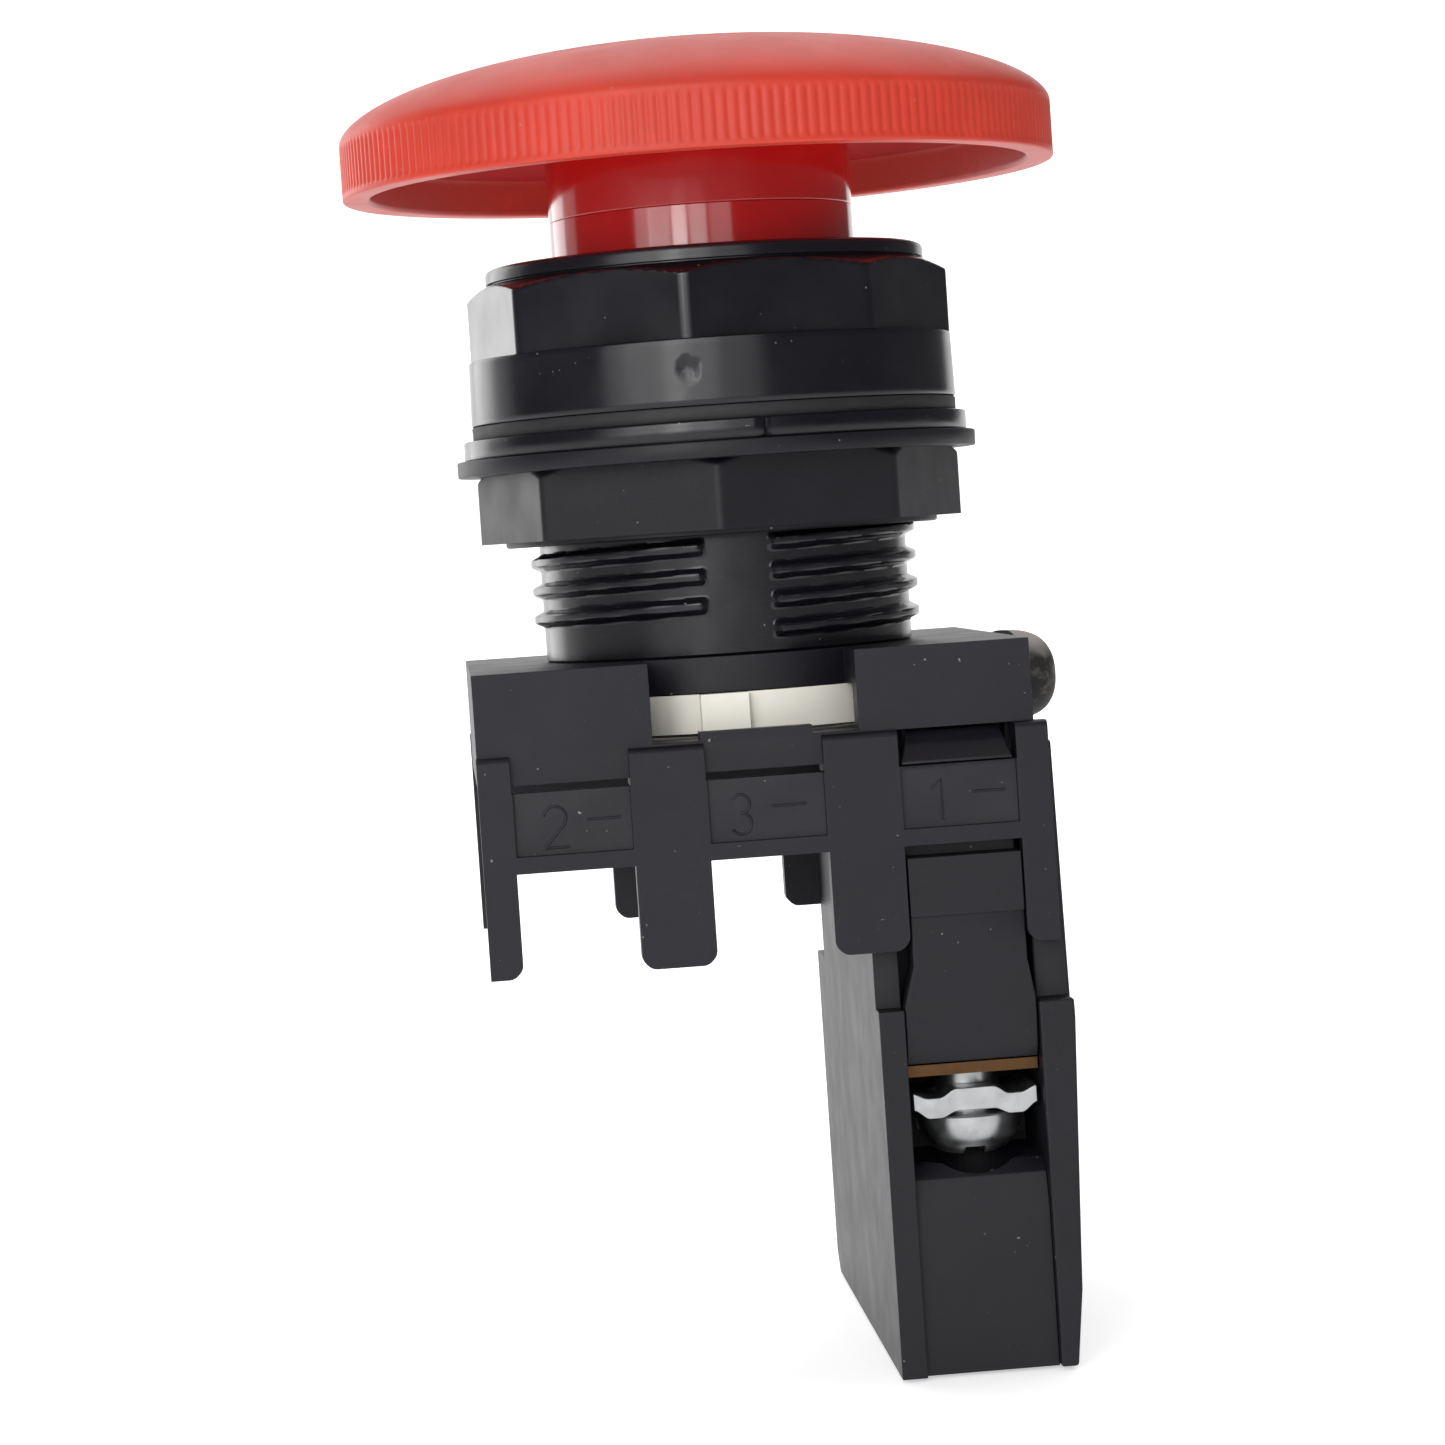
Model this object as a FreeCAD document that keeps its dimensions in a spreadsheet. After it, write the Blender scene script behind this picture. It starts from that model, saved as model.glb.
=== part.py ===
import os

import FreeCAD
import Part
import Sketcher

# Emergency stop push button with its mounting block and one contact block.
# Frame: Z up along the operator's axis, Z = 0 at the underside of the panel gasket,
# -Y is the front with the label plates, +X is the side of the contact block.

doc = FreeCAD.newDocument("EmergencyStop")
sheet = doc.addObject("Spreadsheet::Sheet", "Dims")

DIMENSIONS = {
    # mushroom head
    "head_radius": 20.0,
    "rim_bottom": 13.8,
    "rim_top": 17.3,
    "rim_lip": 1.6,
    "shoulder_radius": 16.2,
    "shoulder_top": 19.85,
    "dome_top": 21.5,
    "dome_sphere": 100.0,
    "cavity_top": 17.6,
    "neck_radius": 8.56,
    "neck_joint": 11.9,
    "spigot_radius": 5.0,
    "spigot_top": 17.2,
    # stem, pusher and latch
    "press_travel": 5.5,
    "fit_gap": 0.05,
    "stem_shoulder": 3.0,
    "skirt_radius": 7.25,
    "skirt_bore": 5.6,
    "skirt_bottom": 6.0,
    "spring_ceiling": 1.5,
    "clip_shelf": 6.0,
    "counterbore": 4.0,
    "rod_radius": 2.4,
    "rod_top": 8.4,
    "disc_radius": 8.2,
    "disc_top": 14.1,
    "disc_bottom": 15.9,
    "latch_pin_radius": 0.95,
    "latch_pin_depth": 4.6,
    "latch_pin_length": 2.8,
    "groove_depth": 0.6,
    "groove_low": 6.1,
    "groove_high": 6.8,
    "clip_mouth": 1.3,
    "sleeve_top": 3.0,
    "sleeve_bottom": 12.0,
    "sleeve_bore": 7.35,
    "cap_bottom": 13.3,
    "spring_radius": 4.3,
    "spring_wire": 0.45,
    "spring_turns": 6,
    # housing
    "collar_radius": 12.35,
    "collar_top": 9.5,
    "octagon_top": 8.6,
    "octagon_corner": 13.75,
    "octagon_turn": 36.0,
    "chamfer_spread": 7.9,
    "flange_top": 4.45,
    "flange_radius": 13.6,
    "gasket_thick": 0.82,
    "gasket_radius": 13.7,
    "barrel_radius": 10.35,
    "barrel_bottom": 12.62,
    "crest_radius": 10.88,
    "thread_pitch": 1.57,
    "thread_bottom": 11.35,
    "thread_turn": 278.0,
    "thread_foot": 0.55,
    "thread_side": 0.36,
    "thread_flat": 0.14,
    "thread_round": 0.12,
    "nose_radius": 9.6,
    "nose_bottom": 16.5,
    "lug_radius": 10.5,
    "lug_half": 1.6,
    "lug_thick": 1.2,
    "bore_radius": 8.62,
    "seal_groove": 9.8,
    "seal_low": 6.2,
    "seal_high": 8.6,
    "keyway_half": 1.7,
    "window_arc": 66.0,
    "window_turn": -10.0,
    # rings and nut
    "ring_bore": 10.95,
    "spacer_radius": 14.2,
    "spacer_bottom": 1.1,
    "split_left": 1.5,
    "split_right": 1.75,
    "washer_radius": 14.65,
    "washer_bottom": 2.0,
    "nut_corner": 13.65,
    "nut_turn": 40.8,
    "nut_chamfer": 0.35,
    "nut_spread": 3.3,
    "nut_bottom": 5.8,
    "nut_boss_radius": 12.2,
    "nut_boss_bottom": 6.1,
    # contact holder
    "holder_half": 14.85,
    "holder_bore": 9.75,
    "holder_top": 12.63,
    "holder_roof": 14.55,
    "holder_wall": 1.25,
    "front_wall": 2.05,
    "frame_shift": 0.3,
    "window_half": 5.5,
    "window_bottom": 16.9,
    "window_ring": 11.1,
    "post_front": 15.4,
    "post_back": 14.2,
    "post_top": 17.05,
    "post_bottom": 28.8,
    "corner_post": 1.75,
    "slot_width": 6.3,
    "slot_half": 3.15,
    "post_corner": 0.5,
    "lip_half": 3.0,
    "lip_depth": 1.2,
    "lip_rise": 0.6,
    "wall_bottom": 18.6,
    "bar_height": 0.9,
    "lever_slot_half": 5.4,
    "middle_post": 4.0,
    "bar_top": 19.0,
    "bar_bottom": 23.25,
    "label_recess": 0.35,
    # lock ring and lever
    "lock_radius": 11.2,
    "lock_top": 14.6,
    "lock_bottom": 16.72,
    "lock_lug_bore": 10.7,
    "lock_lug_reach": 11.85,
    "lock_lug_width": 2.6,
    "lock_step": 0.45,
    "notch_arc": 22.0,
    "notch_turn": 107.0,
    "lever_angle": 12.0,
    "lever_half": 1.5,
    "lever_inner": 16.5,
    "lever_outer": 19.05,
    "lever_top": 12.7,
    "lever_middle": 15.3,
    "lever_bottom": 17.85,
    "lever_round": 3.4,
    "retainer_half": 13.55,
    "retainer_top": 17.0,
    "retainer_bottom": 18.4,
    "retainer_bore": 8.65,
    "retainer_depth": 11.3,
    # contact block
    "block_left": 5.5,
    "inner_left": 6.88,
    "inner_right": 14.1,
    "block_right": 15.75,
    "block_front": 15.25,
    "block_back": 18.0,
    "block_bottom": 51.8,
    "block_ledge": 32.0,
    "block_top": 22.6,
    "neck_front": 13.9,
    "back_corner": 1.2,
    "channel_gap": 0.15,
    "channel_bottom": 36.0,
    "relief_front": 14.7,
    "relief_start": 43.0,
    "relief_middle": 41.3,
    "relief_bend": 14.2,
    "relief_end": 13.4,
    "relief_back": 0.55,
    "hook_left": 7.58,
    "hook_right": 13.65,
    "hook_front": 12.85,
    "hook_neck": 14.05,
    "hook_back": 15.2,
    "hook_gap": 0.15,
    "cover_bottom": 15.05,
    "cover_low": 15.5,
    "cover_low_height": 47.7,
    "cover_middle": 15.8,
    "cover_middle_height": 40.0,
    "cover_widest": 16.05,
    "cover_widest_height": 33.0,
    "cover_high": 15.95,
    "cover_high_height": 28.0,
    "cover_tongue": 15.85,
    "cover_top": 18.2,
    "arm_front": 14.05,
    "arm_back": 12.9,
    "arm_foot": 14.3,
    "arm_knee": 14.75,
    "arm_knee_height": 34.4,
    "arm_belly": 14.95,
    "arm_belly_height": 33.0,
    "arm_waist": 15.05,
    "arm_step": 27.1,
    "arm_shoulder": 23.9,
    "arm_shoulder_front": 15.3,
    "arm_nose": 15.6,
    "arm_crown": 14.1,
    "arm_left": 7.55,
    "arm_right": 13.68,
    "arm_hook_right": 13.5,
    "arm_tip_left": 8.1,
    "arm_tip_right": 13.0,
    "arm_taper_height": 18.9,
    "arm_narrow": 29.7,
    "arm_wide": 31.9,
    "arm_gap_side": 0.07,
    "arm_gap": 11.2,
    "cavity_half": 6.6,
    "cavity_bottom": 50.2,
    "plate_top": 35.15,
    "plate_bottom": 35.75,
    "terminal_bottom": 40.6,
    "terminal_depth": 7.5,
    "screw_centre": 10.5,
    "screw_front": 11.0,
    "screw_back": 13.6,
    "driver_bore": 3.05,
    "head_screw_radius": 2.95,
    "head_screw_bottom": 40.5,
    "clamp_bottom": 38.1,
    "clamp_left": 7.15,
    "clamp_right": 13.85,
    "clamp_front": 14.3,
    "clamp_back": 7.9,
    "clamp_edge": 36.65,
    "clamp_dip": 36.95,
    "clamp_crest": 36.5,
    "clamp_edge_low": 37.55,
    "clamp_dip_low": 38.05,
    "clamp_crest_low": 37.75,
    "dip_inner": 1.9,
    "dip_outer": 2.7,
    "crest_half": 1.1,
    "shank_radius": 1.75,
    "shank_top": 34.2,
    "plunger_half": 2.0,
    "plunger_top": 16.0,
    "tip_radius": 0.9,
    "tip_thick": 0.4,
    "tip_offset": 4.6,
    "bridge_thick": 0.6,
    "bridge_half": 5.9,
    "contact_wire": 0.35,
    "contact_coil": 2.1,
    "contact_turns": 7,
    "fixed_inner": 3.2,
    "fixed_front_end": 14.1,
    "fixed_rear_end": 17.1,
    "cross_half": 0.4,
    "cross_reach": 1.6,
    "cross_depth": 1.0,
    "screw_dome": 1.1,
    "plunger_right": 8.3,
}

for row, (alias, size) in enumerate(DIMENSIONS.items(), start=1):
    sheet.set(f"A{row}", alias)
    sheet.set(f"B{row}", str(size))
    sheet.setAlias(f"B{row}", alias)
doc.recompute()

NODES = []
X_AXIS, Y_AXIS, Z_AXIS = (1, 0, 0), (0, 1, 0), (0, 0, 1)


def formula(words):
    """Turn dimension names separated by spaces into an expression on the sheet."""
    return " ".join(f"Dims.{w}" if w in DIMENSIONS else w for w in str(words).split())


def number(words):
    """Value of a sum or difference of dimension names and numbers."""
    total, sign = 0.0, 1
    for word in str(words).split():
        if word in ("+", "-"):
            sign = -1 if word == "-" else 1
        else:
            total += sign * (DIMENSIONS[word] if word in DIMENSIONS else float(word))
            sign = 1
    return total


def bind(item, **sizes):
    """Bind properties of an object to the sheet; x, y and z stand for its position."""
    for key, words in sizes.items():
        path = f"Placement.Base.{key}" if key in "xyz" else key
        item.setExpression(path, formula(words))
    return item


def difference(high, low):
    return f"( {high} ) - ( {low} )"


def node(item, name):
    """Mark an object as one finished piece of the product."""
    item.Label = name
    NODES.append(item)
    return item


def box(name, x, y, z):
    """Box between the pairs of limits x, y and z."""
    item = doc.addObject("Part::Box", name)
    return bind(item, x=x[0], y=y[0], z=z[0], Length=difference(x[1], x[0]),
                Width=difference(y[1], y[0]), Height=difference(z[1], z[0]))


def cylinder(name, radius, low, high, x="0", y="0"):
    item = doc.addObject("Part::Cylinder", name)
    return bind(item, Radius=radius, Height=difference(high, low), x=x, y=y, z=low)


def cone(name, low_radius, high_radius, low, high, x="0", y="0"):
    item = doc.addObject("Part::Cone", name)
    bind(item, Radius1=low_radius, Radius2=high_radius, Height=difference(high, low))
    return bind(item, x=x, y=y, z=low)


def rotation(axis, degrees):
    """Rotation about one of the frame's axes by a named or plain angle."""
    return FreeCAD.Rotation(FreeCAD.Vector(*axis), DIMENSIONS.get(degrees, degrees))


def octagon(name, corner, low, high, turn):
    """Octagonal prism; turn is the direction of one of its corners."""
    item = doc.addObject("Part::Prism", name)
    item.Polygon = 8
    item.Placement.Rotation = rotation(Z_AXIS, turn)
    return bind(item, Circumradius=corner, Height=difference(high, low), z=low)


def cut(name, base, *tools):
    item = doc.addObject("Part::Cut", name)
    item.Base = base
    item.Tool = tools[0] if len(tools) == 1 else fuse(name + "_tools", *tools)
    return item


def fuse(name, *shapes):
    item = doc.addObject("Part::MultiFuse", name)
    item.Shapes = list(shapes)
    return item


def common(name, *shapes):
    item = doc.addObject("Part::MultiCommon", name)
    item.Shapes = list(shapes)
    return item


def outline(body, name, plane, corners):
    """Closed sketch on one of the body's planes, every corner bound to the sheet."""
    sketch = body.newObject("Sketcher::SketchObject", name)
    origin = [f for f in body.Origin.OriginFeatures if f.Role == plane][0]
    sketch.AttachmentSupport = [(origin, "")]
    sketch.MapMode = "FlatFace"
    points = [FreeCAD.Vector(number(u), number(v), 0) for u, v in corners]
    count = len(points)
    for i in range(count):
        sketch.addGeometry(Part.LineSegment(points[i], points[(i + 1) % count]), False)
    for i in range(count):
        sketch.addConstraint(Sketcher.Constraint("Coincident", i, 2, (i + 1) % count, 1))
    for i, corner in enumerate(corners):
        for kind, words in zip(("DistanceX", "DistanceY"), corner):
            mark = sketch.addConstraint(Sketcher.Constraint(kind, i, 1, number(words)))
            if any(word in DIMENSIONS for word in words.split()):
                sketch.setExpression(f"Constraints[{mark}]", formula(words))
    return sketch


def turned(name, corners):
    """Round piece: an outline of (radius, height) corners turned about the axis."""
    body = doc.addObject("PartDesign::Body", name)
    sketch = outline(body, name + "_outline", "XZ_Plane", corners)
    feature = body.newObject("PartDesign::Revolution", name + "_turn")
    feature.Profile = sketch
    feature.ReferenceAxis = (sketch, ["V_Axis"])
    feature.Angle = 360.0
    return body


def padded(name, plane, corners, low, high):
    """Prism of an outline on the XZ plane (along Y) or the YZ plane (along X)."""
    body = doc.addObject("PartDesign::Body", name)
    sketch = outline(body, name + "_outline", plane, corners)
    feature = body.newObject("PartDesign::Pad", name + "_pad")
    feature.Profile = sketch
    feature.setExpression("Length", formula(difference(high, low)))
    start = f"- ( {high} )" if plane == "XZ_Plane" else low
    sketch.setExpression("AttachmentOffset.Base.z", formula(start))
    return body


def about_axis(name, item, angle):
    """The same shape turned about the operator's axis."""
    group = doc.addObject("Part::Compound", name)
    group.Links = [item]
    group.Placement.Rotation = rotation(Z_AXIS, angle)
    return group


def coil(name, radius, wire, turns, low, high, x="0", y="0"):
    """Round wire swept along a helix that starts and ends a wire's radius inside."""
    helix = doc.addObject("Part::Helix", name + "_helix")
    run = f"( {difference(high, low)} - 2 * {wire} )"
    bind(helix, Radius=radius, Height=run, Pitch=f"{run} / {turns}", z=f"{low} + {wire}", x=x, y=y)
    section = doc.addObject("Part::Circle", name + "_section")
    section.Placement.Rotation = rotation(X_AXIS, 90)
    bind(section, Radius=wire, x=f"{x} + {radius}", y=y, z=f"{low} + {wire}")
    sweep = doc.addObject("Part::Sweep", name)
    sweep.Sections = [section]
    sweep.Spine = (helix, [])
    sweep.Solid = True
    sweep.Frenet = True
    return sweep


# Operator: the parts that move with the press

def mushroom_head():
    skin = turned("head_skin", [
        ("0", "spigot_top + fit_gap"), ("spigot_radius + fit_gap", "spigot_top + fit_gap"),
        ("spigot_radius + fit_gap", "neck_joint"), ("neck_radius", "neck_joint"),
        ("neck_radius", "cavity_top"), ("shoulder_radius", "cavity_top"),
        ("head_radius - rim_lip", "rim_top - 1.0"), ("head_radius - rim_lip", "rim_bottom"),
        ("head_radius", "rim_bottom"), ("head_radius", "rim_top"),
        ("shoulder_radius + 2.6", "rim_top + 1.15"), ("shoulder_radius", "shoulder_top"),
        ("shoulder_radius - 3.0", "dome_top"), ("0", "dome_top")])
    ball = doc.addObject("Part::Sphere", "head_dome")
    bind(ball, Radius="dome_sphere", z="dome_top - dome_sphere")
    return node(common("mushroom_head_solid", skin, ball), "mushroom_head")


def operator_stem():
    """Neck and skirt in one piece, drilled across where the latch pins are pressed in."""
    turning = turned("operator_stem_body", [
        ("rod_radius + fit_gap", "spring_ceiling"), ("skirt_bore", "spring_ceiling"),
        ("skirt_bore", "- skirt_bottom"), ("skirt_radius", "- skirt_bottom"),
        ("skirt_radius", "stem_shoulder"), ("neck_radius", "stem_shoulder"),
        ("neck_radius", "neck_joint"), ("spigot_radius", "neck_joint"),
        ("spigot_radius", "spigot_top"), ("counterbore", "spigot_top"),
        ("counterbore", "clip_shelf"), ("rod_radius + fit_gap", "clip_shelf")])
    drill = doc.addObject("Part::Cylinder", "pin_drill")
    drill.Placement.Rotation = rotation(Y_AXIS, 90)
    bind(drill, Radius="latch_pin_radius", Height="2 * skirt_radius + 2", x="- skirt_radius - 1",
         z="- latch_pin_depth")
    return node(cut("operator_stem_solid", turning, drill), "operator_stem")


def latch_pins():
    """Two radial pins on the X axis, flush with the inside of the skirt."""
    pins = []
    for side, start in (("right", "skirt_bore + fit_gap"),
                        ("left", "- skirt_bore - fit_gap - latch_pin_length")):
        pin = doc.addObject("Part::Cylinder", f"latch_pin_{side}")
        pin.Placement.Rotation = rotation(Y_AXIS, 90)
        bind(pin, Radius="latch_pin_radius", Height="latch_pin_length", x=start, z="- latch_pin_depth")
        pins.append(pin)
    return node(fuse("latch_pins_group", *pins), "latch_pins")


def pusher():
    """Rod with a clip groove near its top and a disc that reaches the contact blocks."""
    return node(turned("pusher_body", [
        ("0", "- disc_bottom"), ("disc_radius", "- disc_bottom"), ("disc_radius", "- disc_top"),
        ("rod_radius", "- disc_top"), ("rod_radius", "groove_low"),
        ("rod_radius - groove_depth", "groove_low"), ("rod_radius - groove_depth", "groove_high"),
        ("rod_radius", "groove_high"), ("rod_radius", "rod_top - 0.4"),
        ("rod_radius - 0.4", "rod_top"), ("0", "rod_top")]), "pusher")


def pusher_clip():
    """Open retaining clip in the groove of the pusher's rod."""
    inner, outer = "rod_radius - groove_depth + fit_gap", "counterbore - 0.35"
    low, high = "groove_low + fit_gap", "groove_high - fit_gap"
    ring = turned("pusher_clip_ring", [(inner, low), (outer, low), (outer, high), (inner, high)])
    mouth = box("pusher_clip_mouth", ("- clip_mouth", "clip_mouth"), ("0", "counterbore + 1"),
                ("clip_shelf", "clip_shelf + 1"))
    return node(cut("pusher_clip_solid", ring, mouth), "pusher_clip")


def return_spring():
    return node(coil("return_spring_coil", "spring_radius", "spring_wire", "spring_turns",
                     "- sleeve_bottom", "spring_ceiling"), "return_spring")


# Operator: the housing and what is fixed in it or clamped on it

def thread_ridges():
    """Rounded right-hand ridges, interrupted by a flat at the front and at the back."""
    helix = doc.addObject("Part::Helix", "thread_helix")
    bind(helix, Radius="barrel_radius", Height="thread_bottom - 0.7", Pitch="thread_pitch",
         z="- thread_bottom")
    section = doc.addObject("Part::Polygon", "thread_section")
    crest = [("barrel_radius - 0.2", "thread_foot"), ("crest_radius - thread_round", "thread_side"),
             ("crest_radius", "thread_flat")]
    base = -number("thread_bottom")
    lower = [FreeCAD.Vector(number(r), 0, base - number(h)) for r, h in crest]
    upper = [FreeCAD.Vector(number(r), 0, base + number(h)) for r, h in reversed(crest)]
    section.Nodes = lower + upper
    section.Close = True
    sweep = doc.addObject("Part::Sweep", "thread_sweep")
    sweep.Sections = [section]
    sweep.Spine = (helix, [])
    sweep.Solid = True
    sweep.Frenet = True
    sweep.Placement.Rotation = rotation(Z_AXIS, "thread_turn")
    flats = [box(f"thread_flat_{side}", ("- keyway_half", "keyway_half"), limits, ("- 13", "1"))
             for side, limits in (("front", ("- 12", "- 9")), ("back", ("9", "12")))]
    return cut("thread_cut", sweep, *flats)


def operator_housing():
    core = turned("housing_core", [
        ("bore_radius", "- nose_bottom"), ("nose_radius", "- nose_bottom"),
        ("nose_radius", "- barrel_bottom"), ("barrel_radius", "- barrel_bottom"),
        ("barrel_radius", "gasket_thick"), ("flange_radius + 0.08", "gasket_thick"),
        ("flange_radius", "flange_top"), ("collar_radius - 0.2", "flange_top"),
        ("collar_radius", "octagon_top"), ("collar_radius", "collar_top"),
        ("bore_radius", "collar_top"), ("bore_radius", "seal_high"),
        ("seal_groove", "seal_high"), ("seal_groove", "seal_low"), ("bore_radius", "seal_low")])
    prism = octagon("housing_octagon", "octagon_corner", "flange_top", "octagon_top",
                    "octagon_turn")
    shoulder = cone("housing_chamfer", "collar_radius + chamfer_spread", "collar_radius", "flange_top",
                    "octagon_top")
    hole = cylinder("housing_octagon_bore", "collar_radius - 0.6", "flange_top", "octagon_top")
    bezel = cut("housing_bezel", common("housing_octagon_cut", prism, shoulder), hole)
    lugs = []
    for place in range(3):
        lug = box(f"housing_lug_{place}", ("nose_radius - 0.6", "lug_radius"),
                  ("- lug_half", "lug_half"), ("- nose_bottom + 0.1", "- nose_bottom + 0.1 + lug_thick"))
        lugs.append(about_axis(f"housing_lug_turned_{place}", lug, 90 + 120 * place))
    return node(fuse("operator_housing_solid", core, bezel, thread_ridges(), *lugs), "operator_housing")


def latch_sleeve():
    """Sleeve with a window on each side in which the latch pins travel and turn."""
    tube = turned("latch_sleeve_tube", [
        ("sleeve_bore", "- sleeve_bottom"), ("bore_radius - 0.03", "- sleeve_bottom"),
        ("bore_radius - 0.03", "- sleeve_top"), ("sleeve_bore", "- sleeve_top")])
    windows = []
    for side, turn in (("right", 0), ("left", 180)):
        window = doc.addObject("Part::Cylinder", f"latch_window_{side}")
        window.Placement.Rotation = rotation(Z_AXIS, turn + DIMENSIONS["window_turn"])
        bind(window, Angle="window_arc", Radius="bore_radius + 1",
             Height="press_travel + 2 * latch_pin_radius + 0.2",
             z="- latch_pin_depth - press_travel - latch_pin_radius - 0.1")
        windows.append(window)
    return node(cut("latch_sleeve_solid", tube, *windows), "latch_sleeve")


def end_cap():
    return node(turned("end_cap_body", [
        ("rod_radius + 0.2", "- cap_bottom"), ("bore_radius - 0.03", "- cap_bottom"),
        ("bore_radius - 0.03", "- sleeve_bottom"), ("rod_radius + 0.2", "- sleeve_bottom")]), "end_cap")


def stem_seal():
    """Lip seal in the collar's groove, its two lips on the neck."""
    return node(turned("stem_seal_body", [
        ("neck_radius + fit_gap", "seal_low + 0.1"), ("seal_groove - 0.03", "seal_low + 0.1"),
        ("seal_groove - 0.03", "seal_high - 0.1"), ("neck_radius + fit_gap", "seal_high - 0.1"),
        ("neck_radius + fit_gap", "seal_high - 0.5"), ("neck_radius + 0.5", "seal_high - 0.9"),
        ("neck_radius + 0.5", "seal_low + 0.9"), ("neck_radius + fit_gap", "seal_low + 0.5")]),
        "stem_seal")


def flat_ring(name, outer, low, high, edge="0.1"):
    """Plain ring with small chamfers on its outer edges."""
    return turned(name, [
        ("ring_bore", low), (f"{outer} - {edge}", low), (outer, f"{low} + {edge}"),
        (outer, f"{high} - {edge}"), (f"{outer} - {edge}", high), ("ring_bore", high)])


def panel_gasket():
    return node(flat_ring("panel_gasket_body", "gasket_radius", "0", "gasket_thick"), "panel_gasket")


def spacer_ring():
    """Thin ring, split at the front."""
    ring = flat_ring("spacer_ring_body", "spacer_radius", "- spacer_bottom", "0")
    gap = box("spacer_ring_gap", ("split_left", "split_right"), ("- washer_radius - 1", "- ring_bore + 1"),
              ("- spacer_bottom - 1", "1"))
    return node(cut("spacer_ring_solid", ring, gap), "spacer_ring")


def thrust_washer():
    """Washer with a key tab that stands in the front flat of the thread."""
    ring = flat_ring("thrust_washer_body", "washer_radius", "- washer_bottom", "- spacer_bottom")
    tab = box("thrust_washer_tab", ("- keyway_half + 0.1", "keyway_half - 0.1"),
              ("- ring_bore - 0.5", "- barrel_radius - 0.1"), ("- washer_bottom", "- spacer_bottom"))
    return node(fuse("thrust_washer_solid", ring, tab), "thrust_washer")


def lock_nut():
    """Octagon chamfered towards the washer, on a slim round boss."""
    prism = octagon("lock_nut_octagon", "nut_corner", "- nut_bottom", "- washer_bottom", "nut_turn")
    top = cone("lock_nut_chamfer", "nut_corner + nut_spread", "nut_corner - nut_chamfer", "- nut_bottom",
               "- washer_bottom")
    boss = cylinder("lock_nut_boss", "nut_boss_radius", "- nut_boss_bottom", "- nut_bottom")
    hole = cylinder("lock_nut_hole", "ring_bore - 0.02", "- nut_boss_bottom - 1", "0")
    blank = fuse("lock_nut_blank", common("lock_nut_prism", prism, top), boss)
    return node(cut("lock_nut_solid", blank, hole), "lock_nut")


# Mounting block

SLOTS = {"left": "- middle_post - slot_width", "middle": "0", "right": "middle_post + slot_width"}


def post(name, left, right, depth, plain_side=None):
    """Post with chamfered lower corners, except on its plain side."""
    low_left = [(left, "- post_bottom + post_corner"), (f"{left} + post_corner", "- post_bottom")]
    low_right = [(f"{right} - post_corner", "- post_bottom"), (right, "- post_bottom + post_corner")]
    if plain_side == "left":
        low_left = [(left, "- post_bottom")]
    if plain_side == "right":
        low_right = [(right, "- post_bottom")]
    return padded(name, "XZ_Plane", [(left, "- post_top"), *low_left, *low_right, (right, "- post_top")],
                  *depth)


def posts(side, depth):
    """Four posts and the crossbar of the front or back face."""
    outer = "slot_half + middle_post + slot_width"
    left_edge = "frame_shift - slot_half - middle_post - slot_width"
    limits = [
        (f"{left_edge} - corner_post", left_edge),
        ("frame_shift - slot_half - middle_post", "frame_shift - slot_half"),
        ("frame_shift + slot_half", "frame_shift + slot_half + middle_post"),
        (f"frame_shift + {outer}", f"frame_shift + {outer} + corner_post"),
    ]
    plain = ("left", None, None, "right")
    pieces = [post(f"{side}_post_{place}", *pair, depth, plain[place])
              for place, pair in enumerate(limits)]
    bar = box(f"{side}_bar", (limits[0][0], limits[-1][1]), depth, ("- bar_bottom", "- bar_top"))
    return pieces + [bar]


def contact_holder():
    shell = box("holder_shell", ("- holder_half", "holder_half"), ("- holder_half", "holder_half"),
                ("- bar_top", "- holder_top"))
    hollow = box("holder_hollow", ("- holder_half + holder_wall", "holder_half - holder_wall"),
                 ("- holder_half + front_wall", "holder_half - front_wall"),
                 ("- bar_top - 1", "- holder_roof"))
    bore = cylinder("holder_top_bore", "holder_bore", "- bar_top", "0")
    notch = box("holder_window_box", ("- window_half", "window_half"), ("- post_front - 1", "- 8"),
                ("- window_bottom", "0"))
    keep = cylinder("holder_window_ring", "window_ring", "- holder_roof", "1")
    window = cut("holder_window", notch, keep)
    lever_slot = box("holder_lever_slot", ("holder_half - 2", "holder_half + 1"),
                     ("- lever_slot_half", "lever_slot_half"), ("- lock_bottom - 0.15", "- holder_roof"))
    slots = []
    for name, place in SLOTS.items():
        width = (f"{place} + frame_shift - slot_half", f"{place} + frame_shift + slot_half")
        for side, depth in (("front", ("- post_front - 1", "- holder_half + front_wall + 0.1")),
                            ("back", ("holder_half - front_wall - 0.1", "post_front + 1"))):
            closed = side == "front" and name != "right"
            top = "- wall_bottom" if closed else "- post_top"
            slots.append(box(f"holder_{side}_slot_{name}", width, depth, ("- bar_top - 1", top)))
    shell_cut = cut("holder_shell_cut", shell, hollow, bore, window, lever_slot, *slots)
    lip = box("holder_window_lip", ("- lip_half", "lip_half"),
              ("- holder_half", "- holder_half + lip_depth"), ("- post_top - 0.3", "- post_top + lip_rise"))
    frame = fuse("holder_frame", shell_cut, lip, *posts("front", ("- post_front", "- post_back")),
                 *posts("back", ("post_back", "post_front")))
    recesses = [box(f"holder_label_{name}", (f"{place} + frame_shift - slot_half + fit_gap",
                                             f"{place} + frame_shift + slot_half - fit_gap"),
                    ("- post_front - 1", "- post_front + label_recess"),
                    ("- bar_bottom + bar_height", "- bar_top + 0.1"))
                for name, place in SLOTS.items()]
    return node(cut("contact_holder_solid", frame, *recesses), "contact_holder")


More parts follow.
